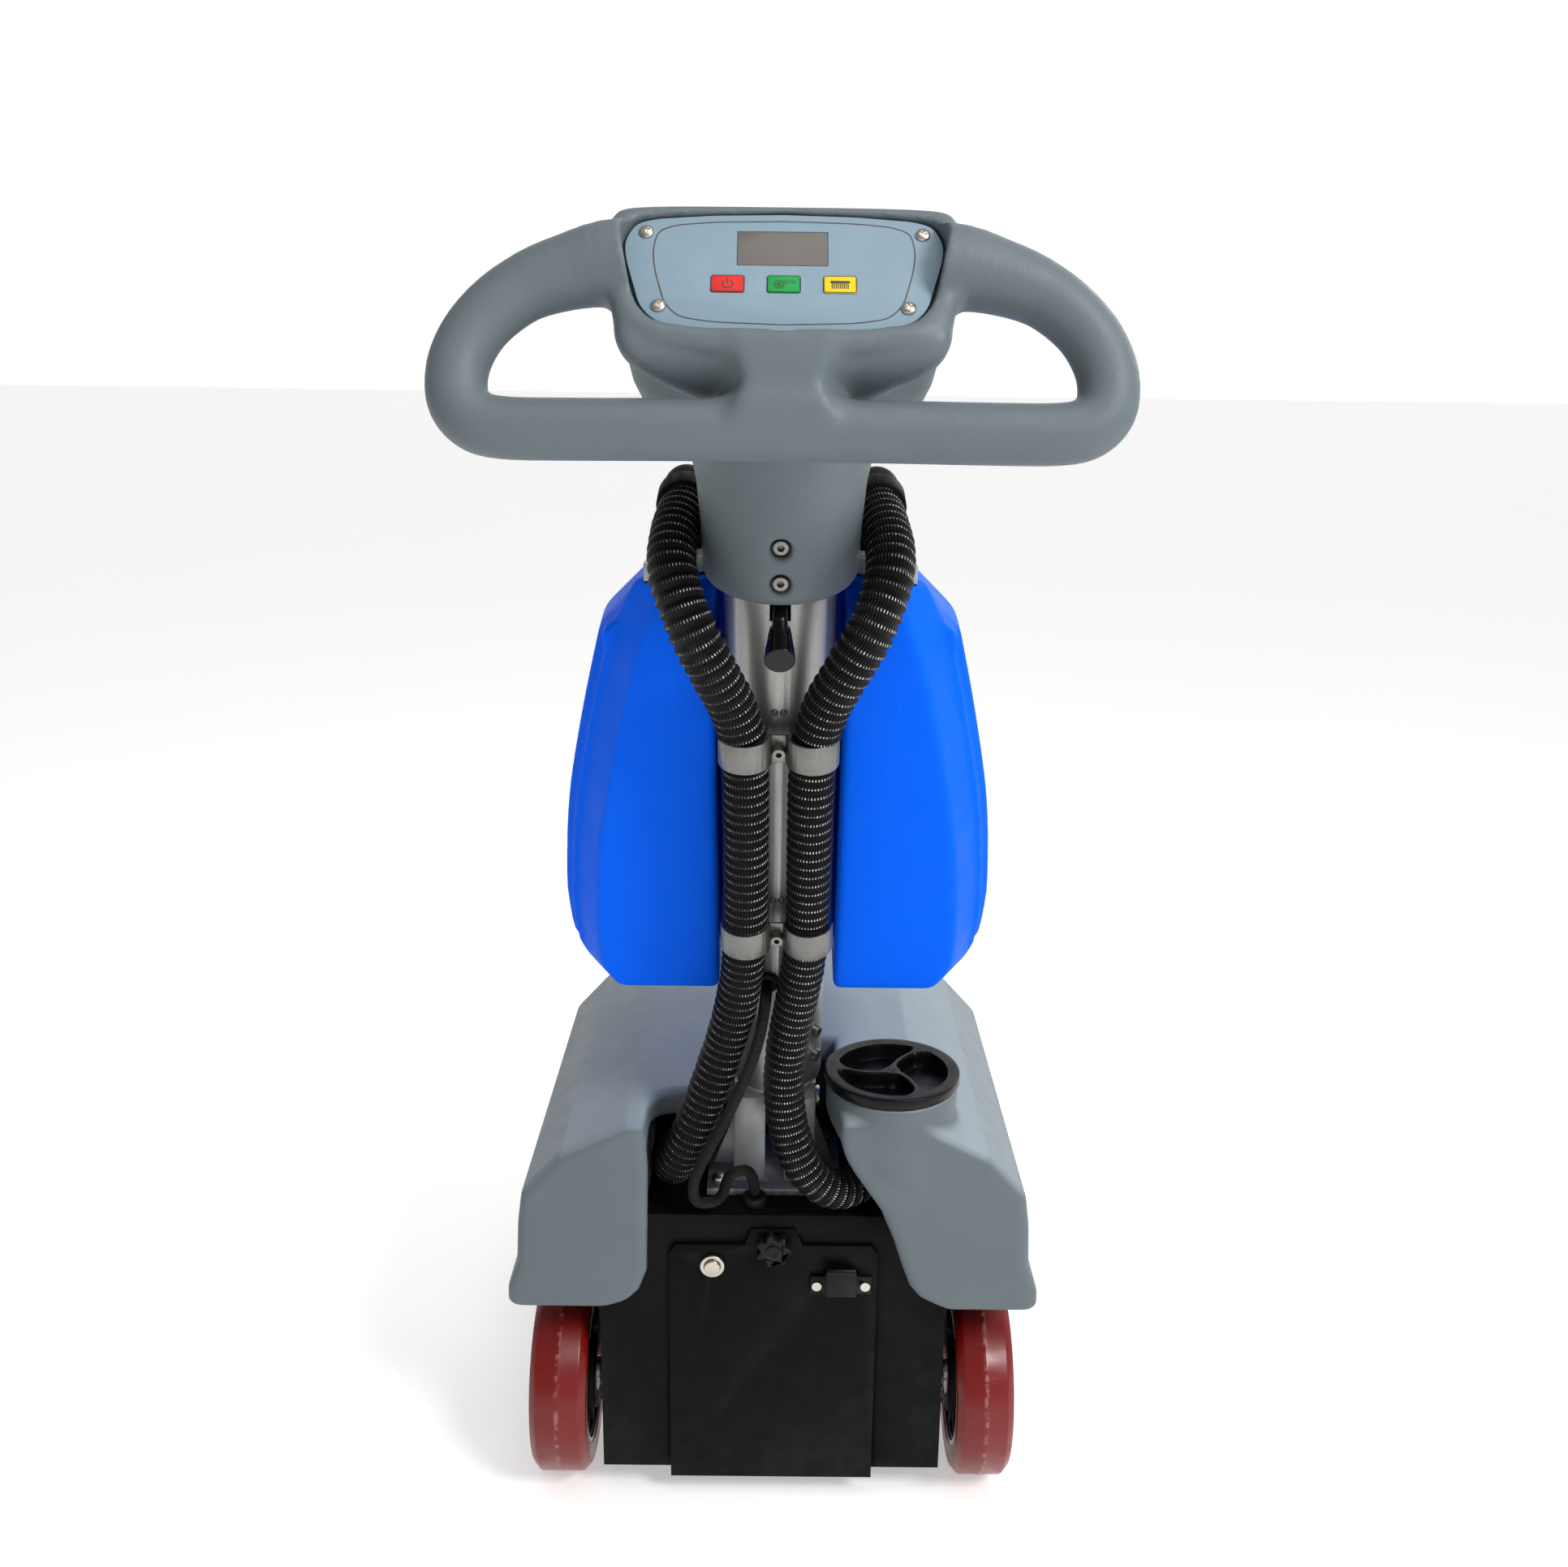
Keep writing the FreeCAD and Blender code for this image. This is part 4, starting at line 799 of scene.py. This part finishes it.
def solution_tank():
    """Grey saddle tank over the wheels, with its faceted level deck, filler neck and hose way."""
    step = 2.0
    low = (-224, -168, 192)
    x, y, z = lattice(low, (224, 208, 392), step)
    side = np.abs(x)
    edge = np.interp(z, [190, 199, 206, 217, 240, 277, 306, 330],
                     [213, 215.5, 217.5, 217, 209, 207, 203, 196])
    top = np.interp(side, [0, 60, 118, 171, 203, 240], [371.5, 371, 367, 341, 306, 262])
    slant = np.interp(side, [112, 124, 165, 177], [1, 0.9, 0.9, 0.68])
    ends = smooth_max(-160 - y, y - 200, 4)
    body = trimmed((side - edge) * 0.98, ((z - top) * slant, 3), (ends, 9), (199 - z, 8))
    under = block_field(x, y, z, (-146, -143, 150), (146, 300, 278), 3)
    room = block_field(x, y, z, (-104, -148, 150), (104, 40, 345), 8)
    right = np.interp(z, [190, 203, 212, 222, 240, 265, 292, 325, 354, 375, 420],
                      [150, 135, 119, 111, 104, 96, 85, 63, 47, 40, 39])
    left = np.interp(z, [190, 200, 207, 216, 234, 328, 400], [148, 133, 118, 109, 102, 100, 104])
    mouth = np.maximum((x - right) * 0.85, (-x - left) * 0.95)
    mouth = smooth_max(mouth, y + 104, 26)
    slot = np.maximum(np.maximum(np.abs(x) - 51, y + 8), 330 - z)
    body = trimmed(body, (-under, 6), (-room, 6), (-mouth, 9), (-slot, 9))
    away = np.sqrt((x - NECK_X) ** 2 + (y - NECK_Y) ** 2)
    neck = smooth_max(away - 53.5, z - 383, 2.5)
    sweep = 0.55 * (x - 42)
    neck = smooth_max(neck, (353 - z - sweep) * 0.8, 8)
    body = smooth_min(body, neck, 8)
    body = smooth_max(body, -np.maximum(away - 48.5, 352 - z), 1.5)
    tank = surfaced("solution_tank_shell", body, low, step)
    return mount(eased(tank, 2), "base", "grey_plastic", "solution_tank", look=deck_plastic())


def clamped(value):
    return min(1, max(0, value))


def filler_cap():
    """Black screw cap: a flat rim over a plug, with three deep pockets between curved ribs."""
    radius, bottom, top, deep = 55, 385.2, 393.5, 12.5
    steps = 240
    turns = [math.tau * step / steps for step in range(steps)]
    levels = [[(r, height)] * steps for r, height in
              [(48.6, bottom), (54.2, bottom), (radius, bottom + 0.8), (radius, top - 1),
               (radius - 0.4, top - 0.3), (radius - 1.4, top), (radius - 6, top - 0.5)]]
    for r in np.linspace(radius - 7, 0.5, 60):
        flare = 1.5 + 5 * max(0, (14 - r) / 14) ** 2 + 7 * max(0, (r - 34) / 11) ** 2
        ends = clamped((r - 6) / 3) * clamped((45.5 - r) / 2)
        crest = top - 0.5 - 0.9 * clamped((46 - r) / 20)
        level = []
        for angle in turns:
            swirl = angle + 0.012 * (r - 20) - math.radians(70)
            rib = min(abs(math.remainder(swirl - k * math.tau / 3, math.tau)) for k in range(3)) * r
            wall = clamped((rib - flare) / 2.6) * ends
            level.append((r, crest - deep * wall * wall * (3 - 2 * wall)))
        levels.append(level)
    points = [(*polar(r, angle, (NECK_X, NECK_Y)), height)
              for level in levels for angle, (r, height) in zip(turns, level)]
    faces = ring_quads(len(levels), steps)
    faces.append(list(range(len(points) - steps, len(points))))
    over = at(NECK_X, NECK_Y, 0)
    plug = lathed("plug", [(48.6, bottom), (47.9, bottom - 0.6), (47.9, 373), (47, 372), (0, 372)], over, 120)
    dots = [lathed("dot", [(0, top - 1.5), (0.9, top - 1.5), (0.7, top - 0.9), (0, top - 0.8)],
                   over @ at(*polar(2.6, angle), 0), 16) for angle in (0.6, 2.7, 4.8)]
    cap = merged("filler_cap_moulding", build("cap_top", points, faces, WORLD, 50), plug, *dots)
    for face in cap.data.polygons:
        face.use_smooth = True
    return mount(cap, "filler_cap", "black_plastic", "filler_cap")


# ---- column fittings
def release_lever():
    """Glossy tapered lever through the slot, ending in a round thumb pad."""
    step = 0.5
    low = (-13, -74, 430)
    x, f, s = lattice(low, (13, -8, 494), step)
    path = [(0, -22, 482), (0, -40, 483), (0, -48, 480), (0, -54, 471), (0, -61, 464), (0, -72, 459)]
    arm = tube_field(x, f, s, path, [4, 5.3, 5.6, 8, 9.8, 10.5])
    arm = smooth_max(arm, -0.97 * (f + 68) - 0.24 * (s - 461), 1.2)
    field = smooth_max(arm, np.where(s > 476, np.abs(x) - 5.3, -9), 2)
    pivot = np.maximum(np.sqrt((f + 26) ** 2 + (s - 482) ** 2) - 4, np.abs(x) - 6)
    field = smooth_min(field, pivot, 1)
    lever = surfaced("release_lever_arm", field, low, step, COLUMN)
    return mount(eased(lever, 3), "release_lever", "black_plastic", "release_lever",
                 look=finish_for("lever_gloss"))


def column_screws():
    """Socket screws in the neck and clips, and button screws at the foot."""
    heads = [screw_head("neck", 5, 6.4, "hex", COLUMN @ at(0, -44.1, s, QUARTER)) for s in NECK_SCREWS]
    heads += [screw_head("clip", 4.4, 7.9, "hex", COLUMN @ at(0, -57.6, s, QUARTER)) for s in CLIPS]
    side = Matrix.Rotation(math.radians(55), 4, "Z")
    heads += [screw_head("foot", 5, 4.4, "hex", COLUMN @ side @ at(0, -38.1, s, QUARTER)) for s in (70, 96)]
    heads += [lathed("stud", [(2.6, 0), (2.6, 1.2), (1.6, 1.9), (0, 1.9)],
                     COLUMN @ at(x, -37.4, clip + 17, QUARTER), 32) for clip in CLIPS for x in (-3, 3)]
    mount(merged("column_screw_heads", *heads), "column", "screw_steel", "column_screws",
          look=finish_for("socket_steel"))


def star_knob():
    """Seven-lobed clamping knob with a raised boss, on its stud."""
    lobes = 7
    turns = np.linspace(0, math.tau, lobes * 16, endpoint=False)
    outline = [polar(12.6 + 2.3 * math.cos(lobes * angle), angle) for angle in turns]
    back = at(0, -146.8, 252.5, QUARTER)
    knob = prism("knob", outline, 0, 11, back, 2.2, 4)
    boss = lathed("boss", [(0, 10.6), (6.8, 10.6), (6.4, 12.6), (5.6, 13), (3.2, 13), (2.8, 12.4), (0, 12.4)],
                  back, 48)
    stud = lathed("stud", [(0, -11), (3.6, -11), (4, -10.4), (4, 0.2), (0, 0.2)], back, 32)
    mount(merged("star_knob_moulding", knob, boss, stud), "star_knob", "black_matte_plastic", "star_knob")


# ---- hoses and cable
def in_column(x, f, s):
    return COLUMN @ (Vector((x, f, s)) * MM)


def route_line(name, route):
    """Points along the smooth NURBS line whose control points are the route."""
    curve = bpy.data.curves.new(name, "CURVE")
    curve.dimensions = "3D"
    spline = curve.splines.new("NURBS")
    spline.points.add(len(route) - 1)
    for point, place in zip(spline.points, route):
        point.co = (*place, 1)
    spline.order_u = 3
    spline.use_endpoint_u = True
    curve.resolution_u = 24
    thing = put(name, curve)
    bpy.context.view_layer.update()
    data = bpy.data.meshes.new_from_object(thing.evaluated_get(bpy.context.evaluated_depsgraph_get()))
    points = np.array([tuple(v.co) for v in data.vertices])
    bpy.data.objects.remove(thing)
    return points


def along_line(points, count):
    """Evenly spaced points, directions and side vectors carried along a line without twist."""
    gaps = np.linalg.norm(np.diff(points, axis=0), axis=1)
    run = np.concatenate([[0], np.cumsum(gaps)])
    spots = np.linspace(0, run[-1], count)
    places = np.stack([np.interp(spots, run, points[:, k]) for k in range(3)], axis=1)
    ahead = np.gradient(places, axis=0)
    ahead /= np.linalg.norm(ahead, axis=1)[:, None]
    side = np.cross(ahead[0], (0, 0, 1))
    if np.linalg.norm(side) < 0.1:
        side = np.cross(ahead[0], (0, 1, 0))
    sides = []
    for direction in ahead:
        side = side - direction * side.dot(direction)
        side = side / np.linalg.norm(side)
        sides.append(side)
    return places, ahead, np.array(sides), run[-1]


def sleeve(name, points, radius_at, rings, around):
    """A closed tube along a line, its radius in millimetres given by the share of the way and the angle."""
    places, ahead, sides, length = along_line(points, rings)
    verts, uvs = [], []
    for index in range(rings):
        share = index / (rings - 1)
        up = np.cross(ahead[index], sides[index])
        for step in range(around):
            angle = math.tau * step / around
            r = radius_at(share, angle) * MM
            verts.append(tuple(places[index] + r * (math.cos(angle) * sides[index] + math.sin(angle) * up)))
    faces = ring_quads(rings, around)
    for index in range(rings - 1):
        near, far = index / (rings - 1), (index + 1) / (rings - 1)
        for step in range(around):
            first, last = step / around, (step + 1) / around
            uvs += [(near, first), (near, last), (far, last), (far, first)]
    faces.append(list(range(around - 1, -1, -1)))
    faces.append([(rings - 1) * around + step for step in range(around)])
    uvs += [(0, 0)] * around + [(1, 0)] * around
    data = bpy.data.meshes.new(name)
    data.from_pydata(verts, [], faces)
    layer = data.uv_layers.new(name="UVMap")
    layer.data.foreach_set("uv", [c for uv in uvs for c in uv])
    return shown(name, data, None), length


HOSES = {
    "left_hose": (
        [(-66, 33, 523), (-75, -24, 520), (-61, -61, 488), (-43, -64, 450), (-30, -58.5, 420),
         (-23, -55.5, 387), (-22.4, -55.2, 330), (-23, -55.5, 224), (-27, -53, 170)],
        [(-38, -152, 440), (-54, -145, 388), (-70, -138, 343), (-83, -122, 310), (-86, -90, 297),
         (-84, -52, 297), (-84, -12.2, 297)]),
    "right_hose": (
        [(66, 33, 523), (75, -24, 520), (63, -61, 488), (43, -64, 450), (30, -58.5, 420), (23, -55.5, 387),
         (22.4, -55.2, 330), (23, -55.5, 224), (18, -53, 170)],
        [(6, -148, 420), (8, -143, 364), (24, -144, 318), (52, -138, 295), (82, -106, 295), (84, -58, 297),
         (84, -12.2, 297)]),
}


def hoses():
    """Corrugated suction hoses in braided sleeves: column to base, bending below the lower clip."""
    for number, (node, (upper, lower)) in enumerate(HOSES.items()):
        route = [in_column(*point) for point in upper] + [Vector(point) * MM for point in lower]
        points = route_line(node + "_line", route)
        ribs = round(sum((b - a).length for a, b in zip(route, route[1:])) / (7.7 * MM))
        random.seed(number + 3)
        swell = [random.uniform(-0.25, 0.25) for _ in range(ribs + 2)]

        def radius_at(share, angle):
            phase = share * ribs
            tooth = (0.5 + 0.5 * math.cos(math.tau * phase)) ** 0.8
            return 14.4 + (2.0 + swell[int(phase)]) * tooth

        tube, length = sleeve(node + "_braided", points, radius_at, ribs * 8 + 1, 52)
        print("%s: %.0f mm" % (node, length / MM))
        # the last braided argument sets the strength of the painted glints on the crests
        mount(tube, None, "hose", node, look=braided(node + "_braid", 46, ribs, 1.3))
        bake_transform(tube)


def control_cable():
    """Braided control cable from the column's grommet, in a slack loop to the gland on the box."""
    route = [in_column(-7, -42, 161.5), in_column(-8, -60, 156)]
    route += [Vector(point) * MM for point in (
        (-14, -172, 440), (-34, -164, 385), (-56, -157, 338), (-66, -150, 310), (-64, -146, 289),
        (-42, -140, 289), (-38, -133, 310), (-16, -124, 310), (-16, -124, 285.1))]
    points = route_line("cable_line", route)
    tube, length = sleeve("control_cable_braided", points,
                          lambda share, angle: 4.4 + 0.1 * math.cos(angle * 16), 280, 32)
    print("cable: %.1f mm" % (length / MM))
    # the last braided argument sets the strength of the painted glints on the crests
    mount(tube, None, "hose", "control_cable", look=braided("cable_braid", 16, 160, 0.25))
    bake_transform(tube)


# ---- wheels and head underneath
def coated(thing, slot):
    thing.data.materials.append(finish_for(slot))
    return thing


def wheels():
    """Red polyurethane tyres with a mould line, on ribbed black hubs with a steel rim ring."""
    half = [(62, -22), (63.5, -23.4), (76, -24), (78.5, -23.6), (84.2, -18.6), (85, -17), (85, -1.2),
            (85.35, -0.5)]
    tread = half + [(r, -h) for r, h in reversed(half)] + [(62, 22), (62, -22)]
    ring = [(62, -22), (60.2, -22.6), (58.6, -22.6), (58.6, 22.6), (60.2, 22.6), (62, 22)]
    casting = [(20, -26), (33, -26), (34, -25), (34, -12), (36, -10.5), (53, -9.5), (55, -11), (56.5, -20),
               (58.6, -21), (58.6, 21), (56.5, 20), (55, 11), (53, 9.5), (36, 10.5), (34, 12), (34, 17),
               (33, 18), (20, 18), (20, -26)]
    web = [(34, -1.6), (57, -1.6), (57, 1.6), (34, 1.6)]
    for sign, side in ((-1, "left"), (1, "right")):
        place = at(sign * WHEEL_X, WHEEL_Y, WHEEL_Z, QUARTER * sign, "Y")
        tyre = lathed(side + "_tyre_tread", tread, place, 160, 32)
        mount(tyre, side + "_wheel", "red_tyre", side + "_tyre")
        rim = coated(lathed("rim", ring, place, 120, 30), "screw_steel")
        hub = coated(lathed("hub", casting, place, 96, 30), "black_matte_plastic")
        ribs = [coated(prism("rib", web, low, high, place @ at(0, 0, 0, math.pi * index / 5, "Z"), 0.5),
                       "black_matte_plastic") for index in range(10) for low, high in ((-20, -9), (9, 20))]
        wheel = merged(side + "_hub_casting", hub, rim, *ribs)
        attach(wheel, side + "_wheel")
        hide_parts(side + "_hub")


def bristles():
    """Rings of nylon tufts under the brush disc."""
    random.seed(11)
    points, faces = [], []
    for ring, radius in enumerate((66, 80, 94, 108, 122, 136, 150, 164)):
        count = int(radius * 0.62)
        for step in range(count):
            angle = math.tau * (step + 0.5 * (ring % 2)) / count
            cx, cy = polar(radius, angle, (0, 195.9))
            lean_x, lean_y = random.uniform(-2, 2), random.uniform(-2, 2)
            start = len(points)
            for height, size, shift in ((36, 2.0, 0), (16, 2.6, 0.4), (0.6, 3.6, 1.0)):
                for corner in range(7):
                    turn = math.tau * corner / 7
                    r = size * random.uniform(0.75, 1.1)
                    end = random.uniform(-0.5, 0.6) if height < 1 else 0
                    points.append((*polar(r, turn, (cx + lean_x * shift, cy + lean_y * shift)), height + end))
            faces += [[start + corner for corner in face][::-1] for face in ring_quads(3, 7)]
            faces.append([start + 14 + corner for corner in range(7)][::-1])
    tufts = build("brush_bristle_tufts", points, faces, WORLD, 60)
    mount(tufts, "brush", "bristle", "brush_bristles")


# ---- pieces carried over with broken edges
ROUNDED = {
    "chassis_box": 1.6, "drawer_plate": 0.4, "hinge_bracket": 2.4, "hose_clips": 0.45, "column_foot": 1.2,
    "column_grommet": 0.8, "hose_cuffs": 1.0, "hose_sockets": 1.2, "lid_elbows": 1.0, "tank_lid": 2.6,
    "lid_gasket": 0.6, "box_grommet": 0.9, "button_bezel": 0.7, "power_button": 0.8, "charge_socket": 0.6,
    "socket_flap": 0.7, "bracket_bolts": 0.8, "hinge_pin": 0.8, "brush_deck": 1.5, "brush_motor": 2.0,
    "splash_skirt": 0.8, "squeegee_body": 1.2, "squeegee_blades": 0.3, "squeegee_guides": 0.5,
    "stub_axles": 0.8, "brush_hub": 1.0, "brush_disc": 1.5, "battery_pack": 3.0, "battery_tray": 0.4,
    "column_tube": 0.3,
}


def carry_over():
    """Give every CAD node its finish, and swap in round-edged copies of those that show."""
    slots = {row["node"]: row["material_slot"] for row in frame["record"]["subparts"]}
    bodies = frame["record"]["behaviour"]["bodies"]
    body_of = {node: body for body, members in bodies.items() for node in members}
    for node, thing in NODES.items():
        for index in range(len(thing.data.materials)):
            thing.data.materials[index] = finish_for(slots[node])
        if node in ROUNDED:
            look = finish_for(OWN_LOOK.get(node, slots[node]))
            mount(rounded(node, ROUNDED[node]), body_of[node], slots[node], node, look=look)


# ---- stage, light and camera
def stage():
    """Pale floor, soft studio light and the camera."""
    look = Finish("studio_floor", "#f4f4f3", 0.6)
    look.tint(look.patches(2, 2, 0.4, 0.8), "#efefee", 0.4)
    look.bump(look.noise(60, 2), 0.05)
    look.shader["Emission Color"].default_value = (1, 1, 1, 1)
    look.shader["Emission Strength"].default_value = 0.42
    data = bpy.data.meshes.new("floor")
    data.from_pydata([(-30, -30, 0), (30, -30, 0), (30, 30, 0), (-30, 30, 0)], [], [[0, 1, 2, 3]])
    floor = put("floor", data)
    data.materials.append(look.material)
    world = bpy.data.worlds.new("studio")
    scene.world = world
    world.use_nodes = True
    sky = Graph(world.node_tree)
    axes = sky.split(sky.add("ShaderNodeTexCoord")["Generated"])
    glow = sky.math("ADD", sky.range(axes["Y"], 0.5, 0.8, 0.40, 1.08, "SMOOTHSTEP"),
                    sky.range(axes["X"], -0.8, 1.0, -0.1, 0.12, "SMOOTHSTEP"))
    backdrop = sky.tree.nodes["Background"].inputs
    backdrop["Color"].default_value = (1, 1, 1, 1)
    sky.link(glow, backdrop["Strength"])
    lamps = (
        ("key", (1.7, -1.9, 2.4), (0, -0.1, 0.45), 0.9, 62),
        ("top", (0.3, -0.9, 2.9), (0, -0.2, 0.4), 1.6, 16),
        ("rim", (1.3, 1.2, 1.6), (0, 0, 0.6), 1.0, 8),
    )
    for name, place, target, width, power in lamps:
        lamp = bpy.data.lights.new(name, "AREA")
        lamp.shape, lamp.size, lamp.energy = "DISK", width, power
        thing = put(name, lamp)
        thing.location = place
        thing.rotation_mode = "QUATERNION"
        thing.rotation_quaternion = (Vector(target) - Vector(place)).to_track_quat("-Z", "Y")
    pitch, roll, yaw = (math.radians(angle) for angle in (16.3, 0.69, 0.223))
    turn = Matrix.Rotation(-yaw, 3, "Z")
    ahead = turn @ Vector((0, math.cos(pitch), -math.sin(pitch)))
    across = turn @ Vector((1, 0, 0))
    down = turn @ Vector((0, -math.sin(pitch), -math.cos(pitch)))
    right = math.cos(roll) * across - math.sin(roll) * down
    below = math.sin(roll) * across + math.cos(roll) * down
    lens = bpy.data.cameras.new("camera")
    lens.lens, lens.sensor_width = 34.47, 36
    camera = put("camera", lens)
    axes = Matrix((right, -below, -ahead)).transposed()
    camera.matrix_world = Matrix.Translation((0, -1.22, 0.96)) @ axes.to_4x4()
    scene.camera = camera


stage()
hoses()
control_cable()
head_housing()
control_panel()
recovery_tank()
solution_tank()
filler_cap()
release_lever()
column_screws()
star_knob()
wheels()
bristles()
carry_over()
